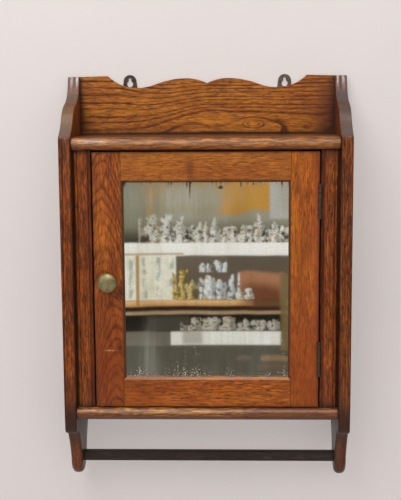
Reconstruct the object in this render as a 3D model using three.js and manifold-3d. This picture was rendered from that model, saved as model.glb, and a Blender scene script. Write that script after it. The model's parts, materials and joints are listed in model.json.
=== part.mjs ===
// An oak bathroom cabinet that hangs on a wall. Two shaped side boards carry a top board, a bottom board,
// tongued back boards and a scalloped crest. A framed door with a mirror hangs between two beaded stiles, two
// shelves rest on battens inside, and a flat towel rail is mortised between the ears of the sides.
//
// Millimetres, +Z up. The front faces -Y and the wall plane is y = 0. The origin lies in the wall plane,
// midway between the two wall screws that the hanging plates drop onto.

import * as THREE from "three";
import { mergeVertices } from "three/addons/utils/BufferGeometryUtils.js";
import Module from "manifold-3d";

const wasm = await Module();
wasm.setup();

// ---------------------------------------------------------------- driving dimensions

const fit = 0.2; // clearance round a fixed joint
const running = 0.3; // clearance round a piece that turns, or that is cut by its neighbour

// Case
const caseWidth = 457;
const sideThickness = 19;
const sideDepth = 140;
const galleryRise = 94; // how far the sides and the crest stand above the top board
const galleryEndDepth = 16; // depth of the sides at their very top
const galleryWaist = { depth: 66, rise: 50 }; // where the cove of the side turns into its bulge
const gallerySpring = { depth: 103, rise: 28 }; // where the bulge meets the sloping foot
const topThickness = 20;
const bottomThickness = 19.6;
const clearHeight = 413; // between the top board and the bottom board
const noseSetback = 1.5; // round noses of both boards behind the front edges of the sides
const housingDepth = 6; // both boards are housed this deep in the sides
const housingStop = 14; // the housings stop this far behind the front edges
const housingShoulder = 4; // the housed tongues lie this far below the upper faces of the boards

// Ears below the case, with the towel rail between them
const lipDrop = 22.4; // full depth of the sides goes on this far below the bottom board
const lipRadius = 9;
const earShoulderDepth = 118;
const earTipRadius = 31.5;
const earTipDepth = 54; // centre of the round tip, in front of the wall
const earTipDrop = 82.9; // centre of the round tip, below the bottom board
const earBackDrop = 36.4; // where the back edge of the ear leaves the wall
const rail = { depth: 12, height: 16.7, easing: 1.5 };
const railDrop = 85.2; // middle of the rail, below the bottom board
const railSocket = 9; // depth of each blind mortise in an ear

// Crest and back
const crestThickness = 10;
const backThickness = 8;
const backSetback = 2; // the back boards lie this far in front of the wall plane
const rebateWidth = 6;
const crestShoulder = 164; // half width at which the straight ends of the crest begin
const crestEndRise = 1.3; // the straight ends rise this much from the sides to their shoulders
const crestValley = { half: 116, drop: 18.5 };
const crestTurn = 84; // half width at which each hollow turns into its hump
const crestPeak = { half: 34, drop: 3.2 };
const crestCusp = 11.3; // drop of the point between the two humps
const backBoards = ["back_board_left", "back_board_centre", "back_board_right"];
const tongue = { length: 4, thickness: 3 };
const backVee = 1.2;

// Face stiles
const stileWidth = 29.9;
const stileThickness = 18;
const faceSetback = 10; // stiles and door behind the front edges of the sides
const beadRadius = 2.1;
const quirk = { width: 1.4, depth: 2.4 };
const shadowGap = { width: 3.7, depth: 6 };

// Shelves
const shelfThickness = 10;
const shelfDepth = 88;
const shelfNames = ["upper", "lower"];
const batten = { height: 12, width: 12, length: 80, nose: 6 };

// Door
const doorSideGap = 2;
const doorTopGap = 2.5;
const doorBottomGap = 1.7;
const doorThickness = 18;
const memberWidth = 48;
const sightChamfer = 3.6;
const lipThickness = 8; // wood in front of the mirror
const mirrorRebate = 8; // how far the mirror goes behind the wood
const tenon = { length: 26, thickness: 6, inset: 7.5 };
const mirrorThickness = 4;
const mirrorPlay = 0.6;
const backingThickness = 3;
const beadThickness = 2.2;
const stop = { length: 300, height: 8, depth: 8 };

// Hinges
const hingeLength = 56;
const hingeSpread = 126.4; // middle of each hinge above and below the middle of the door
const knuckleRadius = 2.75;
const knuckles = 5;
const pinRadius = 1.2;
const pinForward = 1.4; // pin axis in front of the door's face
const pinInset = 1.7; // pin axis beside the stile's edge
const leafThickness = 1.4;
const leafWidth = 16.5;

// Latch
const knobRadius = 15.25;
const knobHeight = 23;
const knobNeck = 5.6;
const knobRim = { drop: 8.5, height: 1.6 }; // the rim below the top of the dome, and its upright edge
const knobBore = 12; // how far the spindle goes into the knob
const roseRadius = 9;
const roseThickness = 1.8;
const spindleRadius = 3;
const tongueReach = 34;
const tongueWidth = 11;
const tongueThickness = 2;
const tongueCorner = 3; // clipped corners of its end
const tongueStandoff = 0.6; // between the door's back and the tongue
const nut = { acrossCorners: 9.4, thickness: 3 };

// Hanging plates
const plateCentre = 127.6; // each plate either side of the middle
const plateThickness = 1.8;
const eyeRadius = 10.65;
const slotRadius = 2.3;
const slotToHole = 7.2; // the wide hole below the narrow one
const wideHoleRadius = 5;
const eyeBelowSlot = 3;
const plateHalfWidth = 13;
const plateFoot = 43; // bottom of the plate below the slot
const slotRise = 89; // slot above the top board
const plateScrewDrops = [25, 38];

// Screws
const hingeScrew = { head: 2.9, shank: 1.3, length: 13, headHeight: 1.4 };
const plateScrew = { head: 3.4, shank: 1.6, length: 9, headHeight: 1.8 };
const hingeScrewSpread = 17; // each screw above and below the middle of its hinge
const screwSlot = { width: 0.7, depth: 0.6 };

const curveSteps = 9; // straight steps along each curve of an outline
const roundSteps = 24; // sides of a round piece

// ---------------------------------------------------------------- planes worked out from them

const halfCase = caseWidth / 2;
const halfInside = halfCase - sideThickness;
const topZ = -slotRise; // upper face of the top board
const topUnderZ = topZ - topThickness;
const floorZ = topUnderZ - clearHeight; // upper face of the bottom board
const bottomUnderZ = floorZ - bottomThickness;
const crownZ = topZ + galleryRise;
const faceY = -sideDepth + faceSetback; // front of the stiles and of the door
const stileBackY = faceY + stileThickness;
const backY = -backSetback;
const crestFrontY = backY - crestThickness;
const backFrontY = backY - backThickness;
const railY = -earTipDepth;
const railZ = bottomUnderZ - railDrop;
const stileInner = halfInside - stileWidth + fit; // edge of the door opening
const doorHalf = stileInner - doorSideGap;
const doorTopZ = topUnderZ - doorTopGap;
const doorBottomZ = floorZ + doorBottomGap;
const doorMiddleZ = (doorTopZ + doorBottomZ) / 2;
const doorHalfHeight = (doorTopZ - doorBottomZ) / 2;
const pinX = stileInner - pinInset;
const pinY = faceY - pinForward;
const knobX = -(doorHalf - (memberWidth - sightChamfer) / 2); // the middle of the stile's flat

// ---------------------------------------------------------------- materials

function finish(color, roughness, metalness) {
  return new THREE.MeshStandardMaterial({ color, roughness, metalness });
}
const oak = finish(0x92551f, 0.42, 0);
const oakDark = finish(0x3a2b27, 0.4, 0);
const pine = finish(0x9c6b35, 0.65, 0);
const brass = finish(0x9b8a5c, 0.38, 1);
const hingeSteel = finish(0x655a52, 0.45, 1);
const iron = finish(0x3f362e, 0.55, 1);
const silvered = finish(0xb8bfb6, 0.04, 1);

// ---------------------------------------------------------------- shapes and solids

// A closed three.js geometry as a solid that can be joined and cut.
function solid(geometry) {
  const bare = geometry.clone();
  bare.deleteAttribute("normal");
  bare.deleteAttribute("uv");
  const merged = mergeVertices(bare, 1e-4);
  return new wasm.Manifold(
    new wasm.Mesh({
      numProp: 3,
      vertProperties: new Float32Array(merged.attributes.position.array),
      triVerts: new Uint32Array(merged.index.array),
    }),
  );
}

function geometryOf(body) {
  const mesh = body.getMesh();
  const geometry = new THREE.BufferGeometry();
  geometry.setAttribute("position", new THREE.BufferAttribute(new Float32Array(mesh.vertProperties), 3));
  geometry.setIndex(new THREE.BufferAttribute(new Uint32Array(mesh.triVerts), 1));
  const faceted = geometry.toNonIndexed();
  faceted.computeVertexNormals();
  return faceted;
}

function box(x0, x1, y0, y1, z0, z1) {
  const geometry = new THREE.BoxGeometry(x1 - x0, y1 - y0, z1 - z0);
  geometry.translate((x0 + x1) / 2, (y0 + y1) / 2, (z0 + z1) / 2);
  return solid(geometry);
}

// Extrudes a shape, and turns its own x, y and depth to the three given directions.
function prism(shape, length, alongX, alongY, alongDepth, offset) {
  const geometry = new THREE.ExtrudeGeometry(shape, {
    depth: length,
    bevelEnabled: false,
    curveSegments: curveSteps,
  });
  geometry.applyMatrix4(new THREE.Matrix4().makeBasis(alongX, alongY, alongDepth));
  geometry.translate(offset.x, offset.y, offset.z);
  return solid(geometry);
}
const unitX = new THREE.Vector3(1, 0, 0);
const unitY = new THREE.Vector3(0, 1, 0);
const unitZ = new THREE.Vector3(0, 0, 1);

// A shape drawn in (y, z) and carried along x from x0 to x1.
function prismX(shape, x0, x1) {
  return prism(shape, x1 - x0, unitY, unitZ, unitX, new THREE.Vector3(x0, 0, 0));
}
// A shape drawn in (x, z) and carried along y from y0 to y1.
function prismY(shape, y0, y1) {
  const towardsFront = unitY.clone().negate();
  return prism(shape, y1 - y0, unitX, unitZ, towardsFront, new THREE.Vector3(0, y1, 0));
}
// A shape drawn in (x, y) and carried along z from z0 to z1.
function prismZ(shape, z0, z1) {
  return prism(shape, z1 - z0, unitX, unitY, unitZ, new THREE.Vector3(0, 0, z0));
}

function outline(points) {
  return new THREE.Shape(points.map(([a, b]) => new THREE.Vector2(a, b)));
}

// A profile of [radius, height] pairs, from the bottom up, turned round the y axis.
function turned(profile) {
  return solid(new THREE.LatheGeometry(profile.map(([r, h]) => new THREE.Vector2(r, h)), roundSteps));
}

// A round bar along "x", "y" or "z", from one end to the other, with its axis at a and b in the other two.
function rod(direction, radius, from, to, a = 0, b = 0) {
  const geometry = new THREE.CylinderGeometry(radius, radius, to - from, roundSteps);
  const middle = (from + to) / 2;
  if (direction === "x") geometry.rotateZ(-Math.PI / 2).translate(middle, a, b);
  if (direction === "y") geometry.translate(a, middle, b);
  if (direction === "z") geometry.rotateX(Math.PI / 2).translate(a, b, middle);
  return solid(geometry);
}

function join(...bodies) {
  return bodies.reduce((whole, body) => whole.add(body));
}
function cut(body, ...tools) {
  return tools.reduce((rest, tool) => rest.subtract(tool), body);
}

function piece(parent, name, body, material) {
  const mesh = new THREE.Mesh(geometryOf(body), material);
  mesh.name = name;
  parent.add(mesh);
  return mesh;
}

const cabinet = new THREE.Group();

// ---------------------------------------------------------------- screws

// A countersunk wood screw: its head is flush with y = 0 and its point lies along -y.
function screwProfile(screw, grow, over) {
  const { head, shank, length, headHeight } = screw;
  return [
    [0, -length - grow],
    [shank + grow, -length - grow + shank],
    [shank + grow, -headHeight],
    [head + grow, -grow / 2],
    [head + grow, over],
    [0, over],
  ];
}
function screwBody(screw) {
  const groove = box(-screw.head, screw.head, -screwSlot.depth, 1, -screwSlot.width / 2, screwSlot.width / 2);
  return cut(turned(screwProfile(screw, 0, 0.05)), groove);
}
// The hole that takes such a screw, with its mouth at the given place and open towards +x, -x or +y.
function screwHole(screw, towards, x, y, z) {
  const geometry = new THREE.LatheGeometry(
    screwProfile(screw, running, 0.5).map(([r, h]) => new THREE.Vector2(r, h)),
    roundSteps,
  );
  geometry.rotateZ(quarterTurn[towards]).translate(x, y, z);
  return solid(geometry);
}
const quarterTurn = { "+x": -Math.PI / 2, "-x": Math.PI / 2, "+y": 0 };

function addScrew(parent, name, screw, towards, x, y, z, material) {
  const mesh = piece(parent, name, screwBody(screw), material);
  mesh.position.set(x, y, z);
  mesh.rotation.z = quarterTurn[towards];
}

// ---------------------------------------------------------------- hinges, round a pin along z at x = y = 0

const knuckleLength = hingeLength / knuckles;
const leafBackY = pinForward + leafWidth; // far edge of each leaf behind the pin axis
const doorEdge = doorHalf - pinX; // the door's edge beside the pin axis
const frameEdge = stileInner - pinX; // the stile's edge beside the pin axis
const leafScrewY = pinForward + leafWidth / 2 + 0.5;

function knuckleSpan(index, trim) {
  const low = -hingeLength / 2 + index * knuckleLength;
  return [low + trim, low + knuckleLength - trim];
}
function leaf(x0, x1, owns) {
  let body = box(x0, x1, 0, leafBackY, -hingeLength / 2, hingeLength / 2);
  for (let i = 0; i < knuckles; i++) {
    if (owns(i)) continue;
    body = cut(body, rod("z", knuckleRadius + running, ...knuckleSpan(i, -fit)));
  }
  for (let i = 0; i < knuckles; i++) {
    if (owns(i)) body = join(body, rod("z", knuckleRadius, ...knuckleSpan(i, fit / 2)));
  }
  return cut(body, rod("z", pinRadius + fit, -hingeLength, hingeLength));
}
const isFrameKnuckle = (i) => i % 2 === 0;
const hinges = [
  { name: "top", z: hingeSpread },
  { name: "bottom", z: -hingeSpread },
];
const leafScrewZs = [hingeScrewSpread, -hingeScrewSpread];

// What the wood beside a hinge loses: a shallow gain for the leaf and a hollow for the knuckles.
function hingeGain(x0, x1, z) {
  const half = hingeLength / 2 + fit;
  return join(
    box(x0, x1, pinForward - 1, leafBackY + fit, z - half, z + half),
    rod("z", knuckleRadius + running, z - half, z + half),
  );
}

// ---------------------------------------------------------------- case: sides

function sideShape() {
  const shape = new THREE.Shape();
  const gallery = (depth, rise) => [-depth, topZ + rise];
  const ear = (depth, drop) => [-depth, bottomUnderZ - drop];
  shape.moveTo(...gallery(0, galleryRise));
  shape.lineTo(...gallery(galleryEndDepth, galleryRise));
  const { depth: waistDepth, rise: waistRise } = galleryWaist;
  const { depth: springDepth, rise: springRise } = gallerySpring;
  shape.bezierCurveTo(
    ...gallery(galleryEndDepth + 5, galleryRise - 18),
    ...gallery(waistDepth - 34, waistRise + 7),
    ...gallery(waistDepth, waistRise),
  );
  shape.bezierCurveTo(
    ...gallery(waistDepth + 17, waistRise - 3.5),
    ...gallery(springDepth - 9, springRise + 12),
    ...gallery(springDepth, springRise),
  );
  shape.bezierCurveTo(
    ...gallery(springDepth + 6, springRise - 8),
    ...gallery(sideDepth - 18, 9),
    ...gallery(sideDepth, 0),
  );
  const lipZ = bottomUnderZ - lipDrop;
  shape.lineTo(-sideDepth, lipZ + lipRadius);
  shape.absarc(-sideDepth + lipRadius, lipZ + lipRadius, lipRadius, Math.PI, 1.5 * Math.PI, false);
  shape.lineTo(-earShoulderDepth, lipZ);
  const earFront = earTipDepth + earTipRadius;
  shape.bezierCurveTo(
    ...ear(earShoulderDepth - 14, lipDrop + 8.4),
    ...ear(earFront + 1, earTipDrop - 21.5),
    ...ear(earFront, earTipDrop),
  );
  shape.absarc(...ear(earTipDepth, earTipDrop), earTipRadius, Math.PI, 2 * Math.PI, false);
  shape.bezierCurveTo(
    ...ear(earTipDepth - earTipRadius, earTipDrop - 14.5),
    ...ear(15, earBackDrop + 16),
    ...ear(0, earBackDrop),
  );
  shape.closePath();
  return shape;
}

// Section of the towel rail, with eased corners, grown by a clearance to give its mortise.
function railShape(grow) {
  const halfDepth = rail.depth / 2 + grow;
  const halfHeight = rail.height / 2 + grow;
  const radius = rail.easing + grow;
  const shape = new THREE.Shape();
  const corners = [[1, 1], [-1, 1], [-1, -1], [1, -1]];
  corners.forEach(([towardsWall, up], quarter) => {
    const y = railY + towardsWall * (halfDepth - radius);
    const z = railZ + up * (halfHeight - radius);
    shape.absarc(y, z, radius, (quarter * Math.PI) / 2, ((quarter + 1) * Math.PI) / 2, false);
  });
  shape.closePath();
  return shape;
}

// One side board: hand is -1 for the left one and 1 for the right one.
function sideBoard(hand) {
  const span = (from, to) => (hand < 0 ? [-to, -from] : [from, to]);
  const housed = span(halfInside - 1, halfInside + housingDepth + fit);
  const housingFront = -sideDepth + housingStop - fit;
  const rebate = span(halfInside - 1, halfInside + rebateWidth + fit);
  const socket = span(halfInside - 1, halfInside + railSocket + fit);
  return cut(
    prismX(sideShape(), ...span(halfInside, halfCase)),
    box(...housed, housingFront, 1, topUnderZ - fit, topZ - housingShoulder + fit),
    box(...housed, housingFront, 1, bottomUnderZ - fit, floorZ - housingShoulder + fit),
    box(...rebate, crestFrontY - fit, 1, topUnderZ - fit, crownZ + 1),
    box(...rebate, backFrontY - fit, 1, bottomUnderZ - fit, topUnderZ),
    prismX(railShape(fit), ...socket),
  );
}
piece(cabinet, "side_left", sideBoard(-1), oak);
piece(cabinet, "side_right", sideBoard(1), oak);

// ---------------------------------------------------------------- case: top board and bottom board

// Section in (y, z) of a board whose front edge is a half round.
function nosedShape(frontY, rearY, lowZ, highZ) {
  const radius = (highZ - lowZ) / 2;
  const shape = new THREE.Shape();
  shape.moveTo(rearY, highZ);
  shape.lineTo(frontY + radius, highZ);
  shape.absarc(frontY + radius, lowZ + radius, radius, Math.PI / 2, 1.5 * Math.PI, false);
  shape.lineTo(rearY, lowZ);
  shape.closePath();
  return shape;
}

// A board with a round nose. A tongue at each end goes into its side behind the stop of the housing.
function nosedBoard(lowZ, highZ, rearY) {
  const shape = nosedShape(-sideDepth + noseSetback, rearY, lowZ, highZ);
  const between = halfInside - fit;
  const housed = halfInside + housingDepth;
  const housingFront = -sideDepth + housingStop;
  const tongues = box(-housed, housed, housingFront, rearY, lowZ, highZ - housingShoulder);
  return join(prismX(shape, -between, between), tongues);
}
piece(cabinet, "top_board", nosedBoard(topUnderZ, topZ, crestFrontY - fit), oak);
piece(cabinet, "bottom_board", nosedBoard(bottomUnderZ, floorZ, backFrontY - fit), oak);

// ---------------------------------------------------------------- case: crest and back boards

// Height of an arc that is level at one end and has moved by rise after run.
function levelArc(run, rise, along) {
  const radius = (run * run + rise * rise) / (2 * rise);
  return radius - Math.sqrt(radius * radius - along * along);
}

// How far the crest's upper edge lies below the tops of the sides, at x from the middle.
function crestDrop(x) {
  const valley = crestValley;
  const peak = crestPeak;
  const hollowRun = valley.half - crestTurn;
  const humpRun = crestTurn - peak.half;
  const hollowRise = ((valley.drop - peak.drop) * hollowRun) / (hollowRun + humpRun);
  const humpRise = valley.drop - peak.drop - hollowRise;
  const endRun = crestShoulder - valley.half;
  if (x >= crestShoulder) return (-crestEndRise * (halfInside - x)) / (halfInside - crestShoulder);
  if (x >= valley.half) return valley.drop - levelArc(endRun, valley.drop + crestEndRise, x - valley.half);
  if (x >= crestTurn) return valley.drop - levelArc(hollowRun, hollowRise, valley.half - x);
  if (x >= peak.half) return peak.drop + levelArc(humpRun, humpRise, x - peak.half);
  return peak.drop + levelArc(peak.half, crestCusp - peak.drop, peak.half - x);
}
function crestBoard() {
  const halfWidth = halfInside + rebateWidth;
  const edge = [];
  const stretches = [0, crestPeak.half, crestTurn, crestValley.half, crestShoulder];
  for (let s = 1; s < stretches.length; s++) {
    for (let i = 0; i < curveSteps; i++) {
      const x = stretches[s - 1] + ((stretches[s] - stretches[s - 1]) * i) / curveSteps;
      edge.push([x, crownZ - crestDrop(x)]);
    }
  }
  edge.push([crestShoulder, crownZ + crestEndRise], [halfInside, crownZ], [halfWidth, crownZ]);
  const mirrored = edge.slice(1).map(([x, z]) => [-x, z]).reverse();
  const corners = [[halfWidth, topUnderZ], [-halfWidth, topUnderZ]];
  let body = prismY(outline([...mirrored, ...edge, ...corners]), crestFrontY, backY);
  for (const hand of [-1, 1]) {
    for (const drop of plateScrewDrops) {
      body = cut(body, screwHole(plateScrew, "+y", hand * plateCentre, -fit, -drop));
    }
  }
  return body;
}
piece(cabinet, "crest_board", crestBoard(), oak);

// Upright boards behind the case, tongued into each other, with a small vee on the inside of each joint.
function backBoard(index) {
  const width = (2 * (halfInside + rebateWidth)) / backBoards.length;
  const x0 = -(halfInside + rebateWidth) + index * width;
  const x1 = x0 + width - fit;
  const middleY = (backFrontY + backY) / 2;
  const hasTongue = index < backBoards.length - 1;
  const half = tongue.thickness / 2;
  const shape = [[x0, backFrontY + backVee], [x0 + backVee, backFrontY]];
  shape.push([x1 - backVee, backFrontY], [x1, backFrontY + backVee]);
  if (hasTongue) {
    shape.push([x1, middleY - half], [x1 + tongue.length, middleY - half]);
    shape.push([x1 + tongue.length, middleY + half], [x1, middleY + half]);
  }
  shape.push([x1, backY], [x0, backY]);
  const board = prismZ(outline(shape), bottomUnderZ, topUnderZ - fit);
  if (index === 0) return board;
  const grooveEnd = x0 + tongue.length + fit;
  const grooveHalf = half + fit;
  const grooveYs = [middleY - grooveHalf, middleY + grooveHalf];
  return cut(board, box(x0 - 1, grooveEnd, ...grooveYs, bottomUnderZ - 1, topUnderZ));
}
backBoards.forEach((name, index) => piece(cabinet, name, backBoard(index), pine));

// ---------------------------------------------------------------- case: face stiles

// Section of a stile from the door opening outwards: bead, quirk, flat, quirk, bead, then a step by the side.
function stileShape(hand) {
  const points = [];
  const inner = stileInner;
  const outer = halfInside - fit;
  const beadEnd = outer + fit - shadowGap.width;
  const addBead = (from) => {
    for (let i = 0; i <= curveSteps; i++) {
      const angle = (Math.PI * i) / curveSteps;
      points.push([from + beadRadius * (1 - Math.cos(angle)), faceY + beadRadius * (1 - Math.sin(angle))]);
    }
  };
  addBead(inner);
  points.push([inner + 2 * beadRadius, faceY + quirk.depth]);
  points.push([inner + 2 * beadRadius + quirk.width, faceY + quirk.depth]);
  points.push([inner + 2 * beadRadius + quirk.width, faceY]);
  points.push([beadEnd - 2 * beadRadius - quirk.width, faceY]);
  points.push([beadEnd - 2 * beadRadius - quirk.width, faceY + quirk.depth]);
  points.push([beadEnd - 2 * beadRadius, faceY + quirk.depth]);
  addBead(beadEnd - 2 * beadRadius);
  points.push([beadEnd, faceY + shadowGap.depth], [outer, faceY + shadowGap.depth]);
  points.push([outer, stileBackY], [inner, stileBackY]);
  return outline(points.map(([x, y]) => [hand * x, y]));
}
function faceStile(hand) {
  let body = prismZ(stileShape(hand), floorZ + fit, topUnderZ - fit);
  if (hand < 0) return body;
  for (const { z } of hinges) {
    const middle = doorMiddleZ + z;
    const gain = hingeGain(frameEdge - 1, frameEdge + leafThickness + fit, middle);
    body = cut(body, gain.translate([pinX, pinY, 0]));
    for (const dz of leafScrewZs) {
      body = cut(body, screwHole(hingeScrew, "-x", stileInner, pinY + leafScrewY, middle + dz));
    }
  }
  return body;
}
piece(cabinet, "face_stile_left", faceStile(-1), oak);
piece(cabinet, "face_stile_right", faceStile(1), oak);

// ---------------------------------------------------------------- case: shelves, battens and door stops

const shelfPitch = (clearHeight + shelfThickness) / (shelfNames.length + 1);
const shelfFrontY = backFrontY - shelfDepth;

function shelf(topFaceZ) {
  const shape = nosedShape(shelfFrontY, backFrontY - fit, topFaceZ - shelfThickness, topFaceZ);
  return prismX(shape, -(halfInside - fit), halfInside - fit);
}
function battenBody() {
  const { height, width, length, nose } = batten;
  const front = [[-length, 0], [-length, -height + nose], [-length + nose, -height]];
  const section = [[0, 0], ...front, [0, -height]];
  return prismX(outline(section), -width / 2, width / 2);
}
shelfNames.forEach((name, index) => {
  const topFaceZ = topUnderZ - shelfPitch * (index + 1) + shelfThickness;
  piece(cabinet, `shelf_${name}`, shelf(topFaceZ), oak);
  for (const [side, hand] of [["left", -1], ["right", 1]]) {
    const mesh = piece(cabinet, `batten_${name}_${side}`, battenBody(), oak);
    const x = hand * (halfInside - fit - batten.width / 2);
    mesh.position.set(x, backFrontY - fit, topFaceZ - shelfThickness - fit);
  }
});

const stopFrontY = faceY + doorThickness + running;
const stopBody = () => box(-stop.length / 2, stop.length / 2, 0, stop.depth, 0, stop.height);
piece(cabinet, "door_stop_top", stopBody(), oak).position.set(0, stopFrontY, topUnderZ - fit - stop.height);
piece(cabinet, "door_stop_bottom", stopBody(), oak).position.set(0, stopFrontY, floorZ + fit);

// ---------------------------------------------------------------- hanging plates

// One plate in the (x, z) plane, with the centre of its narrow slot at the origin.
function hangingPlate() {
  const eyeZ = -eyeBelowSlot;
  const shape = new THREE.Shape();
  shape.moveTo(-plateHalfWidth + 4, -plateFoot);
  shape.lineTo(plateHalfWidth - 4, -plateFoot);
  shape.quadraticCurveTo(plateHalfWidth, -plateFoot, plateHalfWidth, -plateFoot + 4);
  shape.lineTo(plateHalfWidth, eyeZ - eyeRadius - 8);
  shape.quadraticCurveTo(plateHalfWidth - 1, eyeZ - eyeRadius + 1, eyeRadius, eyeZ);
  for (let i = 1; i < 2 * curveSteps; i++) {
    const angle = (Math.PI * i) / (2 * curveSteps);
    shape.lineTo(eyeRadius * Math.cos(angle), eyeZ + eyeRadius * Math.sin(angle));
  }
  shape.lineTo(-eyeRadius, eyeZ);
  shape.quadraticCurveTo(-plateHalfWidth + 1, eyeZ - eyeRadius + 1, -plateHalfWidth, eyeZ - eyeRadius - 8);
  shape.lineTo(-plateHalfWidth, -plateFoot + 4);
  shape.quadraticCurveTo(-plateHalfWidth, -plateFoot, -plateHalfWidth + 4, -plateFoot);
  let body = prismY(shape, -plateThickness, 0);
  body = cut(
    body,
    rod("y", wideHoleRadius, -plateThickness - 1, 1, 0, -slotToHole),
    rod("y", slotRadius, -plateThickness - 1, 1, 0, 0),
    box(-slotRadius, slotRadius, -plateThickness - 1, 1, -slotToHole, 0),
  );
  for (const drop of plateScrewDrops) {
    body = cut(body, screwHole(plateScrew, "+y", 0, 0, -drop));
  }
  return body;
}
for (const [side, hand] of [["left", -1], ["right", 1]]) {
  const plate = new THREE.Group();
  plate.position.set(hand * plateCentre, 0, 0);
  piece(plate, `hanging_plate_${side}`, hangingPlate(), iron).position.y = -fit / 2;
  plateScrewDrops.forEach((drop, index) => {
    addScrew(plate, `hanging_screw_${side}_${index + 1}`, plateScrew, "+y", 0, -fit, -drop, iron);
  });
  cabinet.add(plate);
}

// ---------------------------------------------------------------- hinges: leaves and pins on the case

for (const { name, z } of hinges) {
  const hinge = new THREE.Group();
  hinge.position.set(pinX, pinY, doorMiddleZ + z);
  piece(hinge, `hinge_${name}_frame_leaf`, cut(
    leaf(frameEdge, frameEdge + leafThickness, isFrameKnuckle),
    ...leafScrewZs.map((dz) => screwHole(hingeScrew, "-x", frameEdge, leafScrewY, dz)),
  ), hingeSteel);
  piece(hinge, `hinge_${name}_pin`, rod("z", pinRadius, -hingeLength / 2, hingeLength / 2), hingeSteel);
  leafScrewZs.forEach((dz, index) => {
    const screwName = `hinge_${name}_frame_screw_${index + 1}`;
    addScrew(hinge, screwName, hingeScrew, "-x", frameEdge + fit, leafScrewY, dz, hingeSteel);
  });
  cabinet.add(hinge);
}

// ---------------------------------------------------------------- towel rail

const railHalf = halfInside + railSocket - fit;
piece(cabinet, "towel_rail", prismX(railShape(0), -railHalf, railHalf), oakDark);

// ---------------------------------------------------------------- door: the group turns round the hinge pins

const door = new THREE.Group();
door.position.set(pinX, pinY, doorMiddleZ);
cabinet.add(door);

// The panel's own frame: x and z from the middle of the door, y from its front face inwards.
const panel = new THREE.Group();
panel.position.set(-pinX, pinForward, 0);
door.add(panel);

const sightHalf = doorHalf - memberWidth;
const sightHalfHeight = doorHalfHeight - memberWidth;
const flatHalf = sightHalf + sightChamfer;
const flatHalfHeight = sightHalfHeight + sightChamfer;

// The whole frame as one block, with its chamfered opening and the rebate behind it.
function frameBlock() {
  const rebateHalf = sightHalf + mirrorRebate;
  const rebateHalfHeight = sightHalfHeight + mirrorRebate;
  const chamfer = new THREE.CylinderGeometry(1, 2, 1, 4, 1);
  chamfer.rotateY(Math.PI / 4);
  const place = chamfer.getAttribute("position");
  for (let i = 0; i < place.count; i++) {
    const wide = place.getY(i) < 0; // the wide end lies in front
    const grow = wide ? sightChamfer + 0.5 : -0.5;
    const x = Math.sign(Math.round(place.getX(i) * 1e3)) * (sightHalf + grow);
    const z = Math.sign(Math.round(place.getZ(i) * 1e3)) * (sightHalfHeight + grow);
    place.setXYZ(i, x, wide ? -0.5 : sightChamfer + 0.5, z);
  }
  return cut(
    box(-doorHalf, doorHalf, 0, doorThickness, -doorHalfHeight, doorHalfHeight),
    box(-sightHalf, sightHalf, -1, doorThickness + 1, -sightHalfHeight, sightHalfHeight),
    box(-rebateHalf, rebateHalf, lipThickness, doorThickness + 1, -rebateHalfHeight, rebateHalfHeight),
    solid(chamfer),
  );
}
function tenonBox(hand, upper, grow) {
  const low = upper * (doorHalfHeight - tenon.inset);
  const high = upper * (sightHalfHeight + mirrorRebate + 2.5);
  const [z0, z1] = low < high ? [low, high] : [high, low];
  const y0 = (doorThickness - tenon.thickness) / 2 - 1;
  const reach = [flatHalf - 1, flatHalf + tenon.length];
  const [x0, x1] = hand < 0 ? [-reach[1], -reach[0]] : reach;
  return box(
    x0 - grow, x1 + grow, y0 - grow, y0 + tenon.thickness + grow, z0 - grow, z1 + grow,
  );
}
function doorStile(hand) {
  const region = outline([
    [doorHalf + 1, -doorHalfHeight - 1], [flatHalf, -doorHalfHeight - 1], [flatHalf, -flatHalfHeight],
    [sightHalf, -sightHalfHeight], [sightHalf, sightHalfHeight], [flatHalf, flatHalfHeight],
    [flatHalf, doorHalfHeight + 1], [doorHalf + 1, doorHalfHeight + 1],
  ].map(([x, z]) => [hand * x, z]));
  let body = frameBlock().intersect(prismY(region, -1, doorThickness + 1));
  body = cut(body, tenonBox(hand, 1, fit), tenonBox(hand, -1, fit));
  if (hand < 0) return cut(body, rod("y", spindleRadius + running, -1, doorThickness + 1, knobX, 0));
  for (const { z } of hinges) {
    const gain = hingeGain(doorEdge - leafThickness - fit, doorEdge + 1, z);
    body = cut(body, gain.translate([pinX, -pinForward, 0]));
    for (const dz of leafScrewZs) {
      body = cut(body, screwHole(hingeScrew, "+x", doorHalf, leafScrewY - pinForward, z + dz));
    }
  }
  return body;
}
function doorRail(upper) {
  const flat = flatHalf - fit;
  const sight = sightHalf - fit;
  const region = outline([
    [-flat, doorHalfHeight + 1], [flat, doorHalfHeight + 1], [flat, flatHalfHeight],
    [sight, sightHalfHeight], [-sight, sightHalfHeight], [-flat, flatHalfHeight],
  ].map(([x, z]) => [x, upper * z]));
  const body = frameBlock().intersect(prismY(region, -1, doorThickness + 1));
  return join(body, tenonBox(-1, upper, 0), tenonBox(1, upper, 0));
}
piece(panel, "door_stile_left", doorStile(-1), oak);
piece(panel, "door_stile_right", doorStile(1), oak);
piece(panel, "door_rail_top", doorRail(1), oak);
piece(panel, "door_rail_bottom", doorRail(-1), oak);

// ---------------------------------------------------------------- door: mirror, its backing and its beads

const mirrorHalf = sightHalf + mirrorRebate - mirrorPlay;
const mirrorHalfHeight = sightHalfHeight + mirrorRebate - mirrorPlay;
const mirrorY = lipThickness + fit;
const backingY = mirrorY + mirrorThickness + fit;
const beadY = backingY + backingThickness + fit;

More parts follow.
